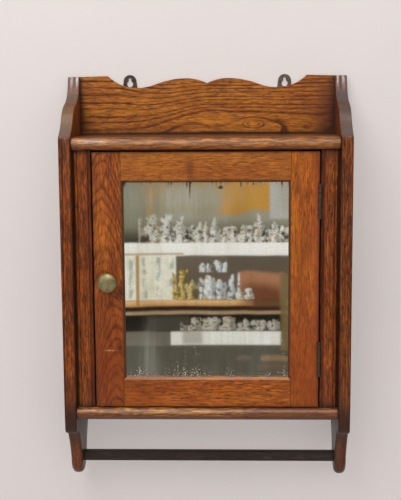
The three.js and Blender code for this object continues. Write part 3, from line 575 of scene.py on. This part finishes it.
def oak(name, axes, heart, tones, ring, sway, seed, taper=0.01, band=0.35, swells=(), lean=(),
        fan=(1.0, ()), rough=0.36, shine=0.3, depth_of_line=1.0, dashes=0.3, streaks=0.6, fibres=0.45,
        mottled=0.3, painted_facing_light=None, marks=(), shade=()):
    """Varnished oak for one board. axes names the directions along, across and into the board. heart is where
    the middle of the tree lies, across and deep, in mm, and lean and fan let it drift along the board. tones
    are the wood, its dark lines and its warm parts. swells are (centre, reach, mm) and move the rings outward
    round a spot, marks are (centre, reach, colour, share), among them painted highlights and painted shade,
    shade is (centre, reach, share) of painted shade and grime in gaps, corners and under edges, and
    painted_facing_light is (direction, limits, lowest, highest, colour, share) of painted light or shade on
    the faces that point along direction, between the lowest and the highest height."""
    material, tree, shader = new_material(name)
    base, line, warm = (paint(*tone) for tone in tones)
    place = dict(zip("xyz", object_place(tree)))
    xyz = [place[c] for c in "xyz"]
    along, across, deep = (place[c] for c in axes)
    grain = node(tree, "Group")
    grain.node_tree = OAK
    swell = None
    for centre, reach, amount in spots(swells):
        bump = soft_spot(xyz, centre, reach) * (amount * MM)
        swell = bump if swell is None else swell + bump
    heart_across = drifting(along, heart[0] * MM, [(start, end, shift * MM) for start, end, shift in lean])
    settings = {
        "Along": along, "Across": across, "Deep": deep, "Heart deep": heart[1] * MM, "Swell": swell or 0.0,
        "Heart across": heart_across, "Fan": drifting(along, *fan),
        "Ring": ring * MM, "Taper": taper, "Sway": sway * MM, "Band": band, "Seed": seed,
    }
    for key, value in settings.items():
        feed(grain.inputs[key], value)
    lines, fibre, pore, cloud, streak, dash, mottle = (Flow(tree, out) for out in grain.outputs)
    colour = blend(tree, cloud.between(0.32, 0.68), base, warm)
    colour = blend(tree, mottle * mottled, colour, tuple(0.45 * a + 0.55 * b for a, b in zip(warm, line)))
    bright = tuple(min(1.0, c * more) for c, more in zip(base, (1.28, 1.4, 1.4))) + (1.0,)
    colour = blend(tree, streak.between(0.42, 0.54, streaks, 0.0), colour, line)
    colour = blend(tree, streak.between(0.52, 0.64, 0.0, streaks), colour, bright)
    colour = blend(tree, fibre.between(0.38, 0.58, fibres, 0.0), colour, line)
    colour = blend(tree, (lines * depth_of_line).math("MINIMUM", 1.0), colour, line)
    dark = tuple(0.35 * c for c in line[:3]) + (1.0,)
    colour = blend(tree, (pore * 0.55).math("MAXIMUM", dash * dashes), colour, dark)
    # Painted light or shade by the way a face points: a grey sheen on the slopes of the sides, a highlight on
    # the chamfer under the glass, shade on the chamfers beside it.
    if painted_facing_light:
        heading, limits, low, high, tint, share = painted_facing_light
        facing = parts_of(tree, Flow(tree, node(tree, "TexCoord").outputs["Normal"]))
        toward = sum((f * h for f, h in zip(facing, heading)), 0.0).between(*limits)
        wear_and_painted_light = toward * place["z"].between(low * MM, (low + 4) * MM)
        wear_and_painted_light = wear_and_painted_light * place["z"].between(high * MM, (high - 4) * MM)
        colour = blend(tree, wear_and_painted_light * fibre.between(0.2, 0.7, 0.6, 1.0) * share, colour, paint(*tint))
    uneven = fibre.between(0.35, 0.6, 0.6, 1.1) * streak.between(0.4, 0.6, 0.7, 1.15)
    for centre, reach, tint, share in spots(marks):
        colour = blend(tree, soft_spot(xyz, centre, reach) * uneven * share, colour, paint(*tint))
    # Painted shade in gaps, corners and under edges, with some grime, from the shade spots.
    if shade:
        shade_and_grime = None
        for centre, reach, share in spots(shade):
            here = soft_spot(xyz, centre, reach) * share
            shade_and_grime = here if shade_and_grime is None else shade_and_grime.math("MAXIMUM", here)
        ragged = fibre.between(0.2, 0.8, 0.75, 1.15)
        colour = blend(tree, (shade_and_grime * ragged).math("MINIMUM", 1.0), colour, SHADE_AND_GRIME)
    feed(shader.inputs["Base Color"], colour)
    sheen = cloud.between(0.2, 0.8, rough - 0.05, rough + 0.07) + pore * 0.25
    feed(shader.inputs["Roughness"], sheen)
    feed(shader.inputs["Specular IOR Level"], shine)
    feed(shader.inputs["Coat Weight"], VARNISH)
    feed(shader.inputs["Coat Roughness"], VARNISH_ROUGHNESS)
    relief(tree, shader, 1.0 - (lines * 0.4 + pore * 0.6 + fibre * 0.15), PORE_DEPTH)
    return material


print("oak varnished", VARNISH, "pores", PORE_DEPTH / MM, "mm deep")

# %% Crest board
DOOR_TOP, DOOR_FOOT = -111, -524
GLASS_EDGE, DOOR_EDGE = 130.6, 180
LEDGE_END = 212
boards = {}
boards["crest_board"] = oak(
    "oak, crest board", "xzy", (-130, 12.8), ((192, 118, 37), (84, 34, 9), (170, 94, 27)), ring=4.4,
    taper=0.0, sway=0.8, band=0.32, seed=1.3, lean=((-160, 5, 53), (60, 200, -8)), dashes=0.5, streaks=0.3,
    fibres=0.5, fan=(0.45, ((-160, 5, 0.4), (60, 200, -0.12))), mottled=0.25, depth_of_line=1.5,
    swells=((10, -70, 30, 8, 3.0), (10, -52, 26, 8, -1.5), (76, -72, 16, 6.5, -9.0),
            (165, -80, 34, 14, 6.4)),
    # The fourth mark is painted shade along the foot of the crest, over the top board.
    marks=((210, -60, 34, 64, (84, 38, 26), 0.95), (-212, -72, 26, 14, (90, 42, 18), 0.7),
           (76, -73, 5, 2.2, (206, 146, 80), 0.5), (40, -92, 170, 6, (140, 64, 30), 0.5),
           (20, -70, 70, 11, (216, 136, 44), 0.35)),
    shade=((-LEDGE_END, -60, 9, 120, 1.0), (LEDGE_END, -60, 9, 120, 1.0), (0, -88.8, 400, 3.0, 1.2),
           (205, -86, 26, 14, 0.75), (-LEDGE_END, -84, 14, 12, 0.6), (124, -80, 4, 8, 0.15)),
)
print("boards so far", len(boards))

# %% The door's four rails and stiles
boards["door_stile_left"] = oak(
    "oak, lock stile", "zxy", (-162, -102), ((184, 102, 31), (76, 28, 8), (156, 77, 23)), ring=3.6,
    taper=-0.19, sway=1.6, band=0.34, seed=5.1, lean=((-310, -390, 18),), dashes=0.4, mottled=0.4,
    # The next setting paints shade on the chamfer along the glass.
    streaks=0.35, painted_facing_light=((0.7, -0.7, 0.0), (0.9, 0.98), -478, -156, (92, 72, 46), 0.8),
    marks=((0, -450, None, 100, (110, 38, 10), 0.6), (-162, -240, 9, 70, (206, 120, 36), 0.35),
           ((-154, -130, -428), (9, 5, 0.9), (214, 160, 120), 0.6)),
    shade=((-GLASS_EDGE, -300, 1.6, 400, 0.6), (-DOOR_EDGE, -300, 3.5, 400, 0.8),
           (-150, DOOR_FOOT, 60, 7, 0.7), (0, DOOR_TOP, None, 2.6, 0.95), (-138, -423, 4, 5, 0.75),
           (-136, -335, 6, 12, 0.45), (-176, -128, 4, 16, 0.35)),
)
boards["door_stile_right"] = oak(
    "oak, hinge stile", "zxy", (60, -100), ((200, 112, 32), (86, 34, 9), (172, 86, 22)), ring=1.9, sway=0.5,
    band=0.4, seed=9.4, depth_of_line=0.6, dashes=0.4, mottled=0.35, streaks=0.3,
    # The next setting paints shade on the chamfer along the glass.
    painted_facing_light=((-0.7, -0.7, 0.0), (0.9, 0.98), -478, -156, (84, 60, 38), 0.7),
    marks=((0, -480, None, 120, (128, 50, 12), 0.45), (175, -300, 6, 400, (138, 54, 20), 0.5),
           (151, -268, 5, 26, (92, 48, 22), 0.5)),
    shade=((GLASS_EDGE, -300, 1.6, 400, 0.75), (DOOR_EDGE - 2, -300, 3.5, 400, 0.7),
           (150, DOOR_FOOT, 60, 7, 0.6), (0, DOOR_TOP, None, 2.6, 0.95)),
)
boards["door_rail_top"] = oak(
    "oak, top rail", "xzy", (40, -60), ((190, 115, 42), (98, 46, 13), (166, 91, 28)), ring=2.2, sway=0.6,
    seed=14.2, depth_of_line=0.4, dashes=0.4, streaks=0.25, mottled=0.3,
    shade=((-25, -140, 6, 30, 0.4), (0, DOOR_TOP, 400, 2.6, 0.95), (0, -158.8, 400, 2.8, 0.9)),
)
boards["door_rail_bottom"] = oak(
    "oak, bottom rail", "xzy", (-560, -80), ((204, 114, 32), (80, 32, 9), (172, 86, 22)), ring=2.4,
    taper=0.004, sway=0.8, seed=18.8, depth_of_line=0.8, dashes=0.55, mottled=0.35, streaks=0.35,
    # The next setting paints a highlight on the chamfer that faces up along the foot of the glass.
    painted_facing_light=((0.0, -0.7, 0.7), (0.9, 0.98), -480, -464, (150, 126, 92), 0.65),
    marks=((-110, 0, 70, None, (126, 56, 16), 0.45),),
    shade=((0, DOOR_FOOT, 400, 5, 0.6),),
)
print("boards so far", len(boards))

# %% Top and bottom boards with their round noses
NOSE_Y = -147
boards["top_board"] = oak(
    "oak, top board", "xyz", (-60, -160), ((184, 108, 46), (60, 28, 12), (156, 86, 34)), ring=3.2, sway=1.2,
    band=0.4, seed=22.0, rough=0.4, mottled=0.7, dashes=0.5,
    # Marks: a painted highlight along the upper half of the nose and a whiter one at its left end, the top
    # face darker towards the crest, and painted light on the lower half of the nose.
    marks=(((0, NOSE_Y, -96), (None, 9, 6.5), (214, 166, 112), 0.7),
           ((-178, NOSE_Y, -93), (24, 9, 4.5), (250, 232, 214), 0.8),
           ((0, -20, -89), (None, 66, 3), (30, 18, 12), 1.1),
           ((0, NOSE_Y, -105), (None, 12, 5), (146, 84, 42), 0.5)),
    shade=((-210, 0, 3, None, 0.9), (210, 0, 3, None, 0.9), (0, -109, None, 1.6, 0.5)),
)
boards["bottom_board"] = oak(
    "oak, bottom board", "xyz", (-90, -600), ((196, 128, 46), (76, 32, 10), (164, 92, 32)), ring=3.6,
    sway=1.2, seed=27.5, rough=0.3, mottled=0.8, dashes=0.8, streaks=0.8, shine=0.45,
    marks=((150, 0, 90, None, (92, 46, 24), 0.85), (-205, -536, 32, 8, (104, 48, 22), 0.8),
           # From here on: painted highlights along the top of the nose, then painted shade on its underside.
           ((-60, NOSE_Y, -526), (130, 9, 3.8), (236, 186, 130), 0.7),
           ((170, NOSE_Y, -526), (60, 9, 3.5), (160, 116, 88), 0.45),
           ((0, -140, -537), (None, 12, 7), (96, 50, 26), 0.75)),
    shade=((0, -541, None, 3.0, 0.8), (-210, 0, 3, None, 0.8), (210, 0, 3, None, 0.8)),
)
print("boards so far", len(boards))

# %% Sides and face stiles
for hand, sign in (("left", -1), ("right", 1)):
    inner, middle, outer = sign * 209, sign * 219, sign * 229
    boards[f"side_{hand}"] = oak(
        f"oak, {hand} side", "zyx", (-40, sign * 330),
        ((167 - 8 * sign, 87 - 3 * sign, 28), (50, 18, 6), (128 - 6 * sign, 58 - 2 * sign, 16)), ring=3.0,
        sway=1.0, band=0.45, seed=33.0 + 5 * sign, dashes=0.6, mottled=0.6, streaks=0.42,
        # The next setting paints a grey sheen on the slopes at the top of the front edge.
        painted_facing_light=((0.0, -0.86, 0.5), (0.55, 0.85), -90, -16, (112, 92, 66) if sign < 0 else (84, 74, 68), 0.85),
        marks=((0, -550, None, 38, (46, 25, 18), 1.15), (0, -650, None, 60, (70, 38, 22), 0.65 + 0.15 * sign),
               (sign * 217, -567, 7, 7, (82, 76, 70), 0.55),
               ((sign * 215, -60, -608), (4, 44, 26), (150, 90, 54), 0.5),
               (0, 0, None, 16, (62, 44, 40), 0.85),
               ((sign * 210, -70, -50), (1.5, 66, 40), (124, 64, 34), 0.6),
               # From here on: painted highlights in two pale streaks at the top of the front edge, then
               # painted grey reflections on the slopes.
               ((sign * 222.5, -16, 0), (2.2, 12, 16), (196, 176, 172), 0.75),
               ((sign * 213.5, -16, 0), (1.6, 12, 12), (226, 210, 196), 0.8),
               ((middle, -60, -30), (8, 60, 10), (92, 86, 92), 0.7),
               ((sign * 222, -130, -80), (8, 60, 10), (100, 94, 98), 0.5)),
        shade=(((inner, -140, -300), (2.0, 6, None), 0.8), ((outer, -140, -300), (1.6, 6, None), 0.6),
               (inner, -620, 3.0, 46, 0.55), (outer, -620, 3.0, 46, 0.5), (0, -658, None, 6, 0.6),
               (inner, -645, 6, 16, 0.8)),
    )
    boards[f"face_stile_{hand}"] = oak(
        f"oak, {hand} face stile", "zxy", (sign * 150, -80), ((174, 90, 29), (54, 20, 6), (138, 63, 18)),
        ring=1.7, taper=0.008, sway=0.5, band=0.45, seed=41.0 + 5 * sign, dashes=0.6, depth_of_line=0.8,
        mottled=0.5, streaks=0.45,
        marks=((sign * 185, 0, 3, None, (104, 42, 32), 0.5),),
        shade=((0, -521, None, 7, 0.8), (0, -110, None, 4, 0.8), (sign * 208, 0, 3, None, 0.9),
               (sign * 181, 0, 2.2, None, 0.7)),
    )
print("boards with their own oak:", len(boards))

# %% Inside wood
plain = {}
for name, axes, heart, tones, ring, sway, seed in (
    ("shelves and stops", "xyz", (-60, -900), ((150, 96, 54), (84, 46, 24), (132, 80, 44)), 3.4, 1.2, 52.0),
    ("battens", "yzx", (-500, 60), ((140, 88, 48), (80, 44, 24), (126, 76, 42)), 2.4, 0.8, 57.0),
    ("beads", "zxy", (-60, 40), ((150, 92, 50), (84, 46, 24), (136, 82, 44)), 2.2, 0.6, 61.0),
):
    plain[name] = oak(f"oak, {name}", axes, heart, tones, ring=ring, sway=sway, seed=seed,
                      rough=0.5, depth_of_line=0.7)
print("inside woods", len(plain))

# %% Dry wood of the back
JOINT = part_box("back_board_centre")[1][0] / MM - 4.0
left_joint, right_joint = ((sign * JOINT, 0, 1.2, None, 0.8) for sign in (-1, 1))
back_woods = {}
for index, (piece, name, heart, base, warm, joints) in enumerate((
    ("back_board_left", "left back board", -150, (176, 134, 86), (160, 118, 74), (left_joint,)),
    ("back_board_centre", "centre back board", 12, (160, 118, 72), (142, 100, 58), (left_joint, right_joint)),
    ("back_board_right", "right back board", 210, (172, 128, 80), (154, 112, 68), (right_joint,)),
    ("mirror_backing", "mirror backing", -40, (164, 122, 76), (148, 106, 64), ()),
)):
    back_woods[piece] = oak(
        f"dry wood, {name}", "zxy", (heart, 30), (base, (112, 74, 42), warm), ring=4.2, taper=0.02, sway=1.2,
        band=0.3, seed=66.0 + 3 * index, rough=0.72, shine=0.2, dashes=0.15, streaks=0.3, fibres=0.25,
        mottled=0.2, shade=joints)
print("back boards meet", round(JOINT, 1), "mm from the middle")

# %% Towel rail
rail_oak = oak(
    "oak, towel rail", "xzy", (-560, -20), ((68, 52, 48), (32, 20, 16), (54, 40, 35)), ring=2.4, sway=0.5,
    band=0.4, seed=71.0, rough=0.45, depth_of_line=0.6,
    shade=((0, -617.5, None, 3.4, 1.0),),
)
print("plain woods", len(plain) + len(back_woods) + 1)

# %% [markdown]
# ## Metal and mirror
#
# Brass that nobody polishes goes olive brown, and stays bright only where fingers touch it. Three flat
# colours would look like paint, so each metal is a bright tone under two sizes of cloud. The mirror is a
# sheet of glass with silver behind it. Damp creeps in at its edges, so the silver is eaten away in dark
# runs under the top edge and in pale specks along the bottom.


# %% Metals
METAL_RELIEF = 0.12 * MM


def worn_metal(name, bright, dull, dirt, scale, rough, metallic=0.85):
    """Three tones laid over each other by two sizes of cloud: bright metal, its dull skin, and dirt. scale is
    the number of large clouds to the metre, and rough is the roughness from the barest to the dullest
    place."""
    material, tree, shader = new_material(name)
    place = vector(tree, *object_place(tree))
    skin = noise(tree, place, scale, 4.0, 0.6)
    fine = noise(tree, place, scale * 6, 2.0, 0.6)
    colour = blend(tree, skin.between(0.35, 0.65), paint(*bright), paint(*dull))
    colour = blend(tree, fine.between(0.58, 0.75) * 0.6, colour, paint(*dirt))
    feed(shader.inputs["Base Color"], colour)
    feed(shader.inputs["Roughness"], skin.between(0.3, 0.7, *rough))
    feed(shader.inputs["Metallic"], metallic)
    relief(tree, shader, fine * 0.4 + skin * 0.6, METAL_RELIEF)
    return material


brass = worn_metal("tarnished brass", (166, 156, 118), (136, 126, 86), (88, 76, 50), 120, (0.48, 0.64))
steel = worn_metal("hinge steel", (98, 84, 70), (72, 60, 50), (42, 32, 26), 240, (0.4, 0.6), 0.7)
dark_iron = worn_metal("dark iron", (84, 76, 71), (60, 53, 49), (36, 29, 27), 240, (0.4, 0.62), 0.6)
bronze_iron = worn_metal("bronzed iron", (122, 108, 97), (95, 84, 74), (56, 47, 40), 240, (0.38, 0.6), 0.7)
print("metals", brass.name, steel.name, dark_iron.name, bronze_iron.name)


# %% Mirror
def mirror_material():
    """Silver behind glass: bright metal where it is whole. Where it has gone the dull backing shows, so the
    metal share falls and the colour goes dark. Haze only makes the reflection rougher."""
    material, tree, shader = new_material("old mirror")
    x, y, z = object_place(tree)
    low, high = (corner[2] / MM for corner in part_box("mirror_glass"))
    fine = noise(tree, vector(tree, x * 420, z * 420, 0.0), 1.0, 3.0, 0.65)
    runs = noise(tree, vector(tree, x * 160, z * 9, 0.0), 1.0, 3.0, 0.6)
    broad = noise(tree, vector(tree, x * 18, z * 6, 4.0), 1.0, 2.0)
    top = z.between((high - 34) * MM, (high - 3) * MM)
    foot = z.between((low + 34) * MM, (low + 4) * MM)
    left = x.between(-112 * MM, -136 * MM)
    right = x.between(116 * MM, 136 * MM)

    def spot(x_middle, z_middle, x_reach, z_reach):
        return soft_spot([x, y, z], (x_middle, 0, z_middle), (x_reach, None, z_reach))

    streak = spot(-25, high - 16, 1.3, 34) * 0.8 + spot(23, high - 16, 4, 2.5)
    eaten = runs * 0.6 + fine * 0.4 + top * 0.155 + streak * 0.3 + left.math("MAXIMUM", right) * 0.08
    eaten = eaten.between(0.66, 0.74)
    cluster = spot(-104, low + 18, 12, 15)
    specks = fine * 0.75 + runs * 0.25 + foot * 0.11 + cluster * 0.1 + (broad - 0.5) * 0.3
    specks = specks.between(0.66, 0.75)
    veil = (broad * 0.85 + runs * 0.15).between(0.42, 0.62)
    haze = spot(-35, high - 28, 70, 26) * 0.5 + spot(-92, low + 30, 12, 50) * 0.25
    haze = (haze + z.between(-380 * MM, -470 * MM) * 0.05) * runs.between(0.3, 0.7, 0.35, 1.0)
    silver = blend(tree, veil, paint(243, 242, 236), paint(226, 222, 208))
    silver = blend(tree, fine.between(0.35, 0.65, 0.16, 0.0), silver, paint(150, 146, 130))
    colour = blend(tree, haze, silver, paint(168, 164, 146))
    colour = blend(tree, specks * 0.8, colour, paint(176, 174, 160))
    colour = blend(tree, eaten, colour, paint(66, 58, 42))
    feed(shader.inputs["Base Color"], colour)
    feed(shader.inputs["Metallic"], 1.0 - (eaten.math("MAXIMUM", specks) * 0.85).math("MAXIMUM", haze * 0.8))
    feed(shader.inputs["Roughness"], veil * top * 0.12 + specks * 0.3 + eaten * 0.25 + haze * 0.06 + 0.015)
    feed(shader.inputs["Coat Weight"], 0.4)
    feed(shader.inputs["Coat Roughness"], 0.03)
    return material


mirror = mirror_material()
print("mirror", len(mirror.node_tree.nodes), "nodes")

# %% [markdown]
# ## Rounding the boards over
#
# The drawn boards have sharp edges, and real ones never do. The edges could be rounded in the shading
# alone, but then the outline would stay sharp. So a copy of each visible board is welded, its flat faces
# are joined up, and a Bevel modifier rolls its edges. On the two sides the roll grows towards the ears
# below the case, which hands and towels have worn as round as fingers.


# %% Worn copies
SHARPEST = 30  # degrees
WELD, FLAT = 0.002 * MM, 0.4  # mm and degrees


def worn_copy(name, width, material, segments, grow=None):
    """A welded copy of a drawn piece whose edges are rolled over by width in mm. grow(points) multiplies the
    width at each edge's middle, and edges flatter than SHARPEST stay as they are."""
    shell = bmesh.new()
    shell.from_mesh(nodes[name].data)
    bmesh.ops.remove_doubles(shell, verts=shell.verts, dist=WELD)
    bmesh.ops.dissolve_limit(shell, angle_limit=math.radians(FLAT), verts=shell.verts, edges=shell.edges)
    turns = np.array([edge.calc_face_angle(0.0) for edge in shell.edges])
    middles = np.array([(edge.verts[0].co + edge.verts[1].co) / 2 for edge in shell.edges])
    share = (turns > math.radians(SHARPEST)).astype(float)
    widest = 1.0
    if grow is not None:
        factor = grow(middles)
        widest = float(factor.max())
        share = share * factor / widest
    layer = shell.edges.layers.float.new("bevel_weight_edge")
    for edge, value in zip(shell.edges, share):
        edge[layer] = value
    mesh = bpy.data.meshes.new(f"{name} worn")
    shell.to_mesh(mesh)
    shell.free()
    mesh.polygons.foreach_set("use_smooth", np.ones(len(mesh.polygons), bool))
    mesh.set_sharp_from_angle(angle=math.radians(SHARPEST))
    piece = placed(f"{name}_worn", mesh)
    mesh.materials.append(material)
    roll = piece.modifiers.new("rolled edges", "BEVEL")
    roll.limit_method, roll.segments = "WEIGHT", segments
    roll.width = width * widest * MM
    roll.use_clamp_overlap, roll.harden_normals, roll.miter_outer = False, True, "MITER_ARC"
    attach(piece, body_of(name))
    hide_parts(name)
    return widest


EAR_TOP, EAR_TIP = -572, -628  # heights in mm
TIP_MORE, FOOT_MORE = 6.6, 1.8


def side_growth(points):
    """How many times wider the roll is on a side: 1 along the case, 1 + FOOT_MORE at the foot of its front
    edge, rising to 1 + TIP_MORE at the tips of the ears, and almost nothing round the mortise of the rail."""
    y, z = points[:, 1] / MM, points[:, 2] / MM
    tip = np.clip((EAR_TOP - z) / (EAR_TOP - EAR_TIP), 0, 1) * np.clip((-y - 16) / 16, 0, 1)
    foot = np.clip((-y - 118) / 14, 0, 1) * np.clip((-543 - z) / 12, 0, 1)
    factor = 1 + TIP_MORE * tip * tip * (3 - 2 * tip) + FOOT_MORE * foot
    mortise = (np.abs(y + 54) < 8) & (np.abs(z + 626.8) < 10)
    return np.where(mortise, 0.1, factor)


SIDE_ROLL, BOARD_ROLL = 1.1, 0.6
wear_and_painted_light = {}
for name in ("side_left", "side_right"):
    wear_and_painted_light[name] = worn_copy(name, SIDE_ROLL, boards[name], 4, side_growth)
for name in ("top_board", "bottom_board", "crest_board", "face_stile_left", "face_stile_right",
             "door_stile_left", "door_stile_right", "door_rail_top", "door_rail_bottom"):
    wear_and_painted_light[name] = worn_copy(name, BOARD_ROLL, boards[name], 2)
print("worn boards", len(wear_and_painted_light), "roll of the ears", round(SIDE_ROLL * wear_and_painted_light["side_left"], 1), "mm")

# %% [markdown]
# ## Turned and small metal
#
# The knob was turned and is round to the touch, so the drawn one with its flat sides is replaced by a finer
# surface of the same profile. The back boards are held by wire nails, whose heads stand a little proud.


# %% Surfaces of revolution about the y direction
def turned(name, centre, out, radius, body, stands_for, slot, material, steps=96):
    """A ring of points for each place along the profile: x = radius cos(angle), z = radius sin(angle), and y
    goes out from the centre. The profile starts and ends on the axis, where one point closes the surface."""
    angle = np.linspace(0, 2 * np.pi, steps, endpoint=False)
    ring = np.stack([np.cos(angle), np.zeros(steps), np.sin(angle)], axis=1)
    rings = radius[1:-1, None, None] * ring[None] + np.array([0, -1, 0]) * out[1:-1, None, None]
    points = np.vstack([rings.reshape(-1, 3), [[0, -out[0], 0], [0, -out[-1], 0]]]) + np.array(centre)
    count = len(out) - 2
    here, there = np.arange(steps), (np.arange(steps) + 1) % steps
    first, beside = ((np.arange(count - 1)[:, None] * steps + row).ravel() for row in (here, there))
    quads = np.stack([first, beside, beside + steps, first + steps], axis=1)
    last = (count - 1) * steps
    start_fan = np.stack([np.full(steps, count * steps), there, here], axis=1)
    end_fan = np.stack([np.full(steps, count * steps + 1), here + last, there + last], axis=1)
    mesh = bpy.data.meshes.new(name)
    mesh.from_pydata((points * MM).tolist(), [], quads.tolist() + start_fan.tolist() + end_fan.tolist())
    mesh.polygons.foreach_set("use_smooth", np.ones(len(mesh.polygons), bool))
    piece = placed(name, mesh)
    mesh.materials.append(material)
    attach(piece, body)
    if stands_for:
        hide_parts(stands_for)
    return piece


PROFILE_STEP = 0.2  # mm


def rounded(stations, reach):
    """Straight runs between (out, radius) stations, averaged over a reach along the profile so that corners
    are round. The two ends stay where they are."""
    stations = np.array(stations, float)
    along = np.concatenate([[0], np.cumsum(np.hypot(*np.diff(stations, axis=0).T))])
    even = np.arange(0, along[-1], PROFILE_STEP)
    out, radius = (np.interp(even, along, column) for column in stations.T)
    window = np.ones(2 * round(reach / PROFILE_STEP / 2) + 1)
    window /= window.sum()
    pad = len(window) // 2
    smooth = [np.convolve(np.pad(row, pad, "edge"), window, "valid") for row in (out, radius)]
    smooth[1][0] = smooth[1][-1] = 0.0
    return smooth


# %% Knob
knob_low, knob_high = (np.array(corner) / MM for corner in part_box("knob"))
rose_low, rose_high = (np.array(corner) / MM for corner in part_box("knob_rose"))
knob_centre = ((knob_low[0] + knob_high[0]) / 2, rose_high[1], (knob_low[2] + knob_high[2]) / 2)
knob_radius, knob_out = (knob_high[0] - knob_low[0]) / 2, knob_centre[1] - knob_low[1]
knob_back = knob_centre[1] - knob_high[1]
FOOT_RADIUS, NECK_RADIUS, RIM_HALF = 6.8, 5.6, 1.6
rim = knob_out - 8.5
sweep = np.linspace(0, np.pi / 2, 24)
bulge = knob_out - rim - RIM_HALF
dome = [(rim + RIM_HALF + bulge * math.sin(a), knob_radius * math.cos(a)) for a in sweep]
stations = [(knob_back, 0), (knob_back, FOOT_RADIUS), (knob_back + 2.5, NECK_RADIUS),
            (knob_back + 5, NECK_RADIUS), (knob_back + 8, 8.2), (rim - RIM_HALF, knob_radius - 2),
            (rim, knob_radius)] + dome
turned("knob_turned", knob_centre, *rounded(stations, 1.4), body_of("knob"), "knob", "brass", brass)
print("knob radius", round(knob_radius, 2), "mm, out", round(knob_out, 2), "mm")

# %% Rose behind the knob
rose_radius, rose_out = (rose_high[0] - rose_low[0]) / 2, rose_high[1] - rose_low[1]
stations = [(0, 0), (0, rose_radius), (rose_out - 0.5, rose_radius), (rose_out, rose_radius - 0.8),
            (rose_out, 0)]
turned("rose_turned", knob_centre, *rounded(stations, 0.6), body_of("knob_rose"), "knob_rose", "brass", brass)
print("rose radius", round(rose_radius, 2), "mm, out", round(rose_out, 2), "mm")

# %% Nails in the back boards
back_low, back_high = (np.array(corner) / MM for corner in (
    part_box("back_board_left")[0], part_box("back_board_right")[1]))
nail_out = np.array([0.0, 0.0, 0.35, 0.55, 0.6])
nail_radius = np.array([0.0, 2.6, 2.2, 1.2, 0.0])
ROW_NAILS, SIDE_NAILS = 9, 7
rows = [back_low[2] + 10.0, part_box("shelf_lower")[0][2] / MM + 5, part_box("shelf_upper")[0][2] / MM + 5]
heads = [(x, z) for z in rows for x in np.linspace(back_low[0] + 30, back_high[0] - 30, ROW_NAILS)]
heads += [(x, z) for x in (back_low[0] + 3, back_high[0] - 3)
          for z in np.linspace(back_low[2] + 60, back_high[2] - 30, SIDE_NAILS)]
for index, (x, z) in enumerate(heads):
    nail = turned(f"back_nail_{index + 1:02d}", (x, back_high[1], z), -nail_out, nail_radius, "cabinet", None,
                  "iron", dark_iron, 12)
    nail.data.flip_normals()
print("nails", len(heads))

# %% [markdown]
# ## Pieces that keep their drawn shape
#
# What is left is hidden behind the door or is as flat and sharp in life as it is drawn: shelves, battens,
# beads, back boards, plates, hinges, the rail and the glass. They only get their finish.

# %% Finish of the drawn pieces
kept = {
    plain["shelves and stops"]: ("shelf_upper", "shelf_lower", "door_stop_top", "door_stop_bottom",
                                 "mirror_bead_top", "mirror_bead_bottom"),
    plain["battens"]: [n for n in nodes if n.startswith("batten_")],
    plain["beads"]: ("mirror_bead_left", "mirror_bead_right"),
    **{wood: (piece,) for piece, wood in back_woods.items()},
    rail_oak: ("towel_rail",),
    mirror: ("mirror_glass",),
    brass: ("latch_tongue", "latch_nut"),
    dark_iron: ("hanging_plate_left", "hanging_screw_left_1", "hanging_screw_left_2"),
    bronze_iron: ("hanging_plate_right", "hanging_screw_right_1", "hanging_screw_right_2"),
    steel: [n for n in nodes if n.startswith("hinge_")] + ["latch_spindle"],
}
for material, names in kept.items():
    for name in names:
        data = nodes[name].data
        data.materials.clear()
        data.materials.append(material)
print("kept as drawn", sum(len(names) for names in kept.values()))
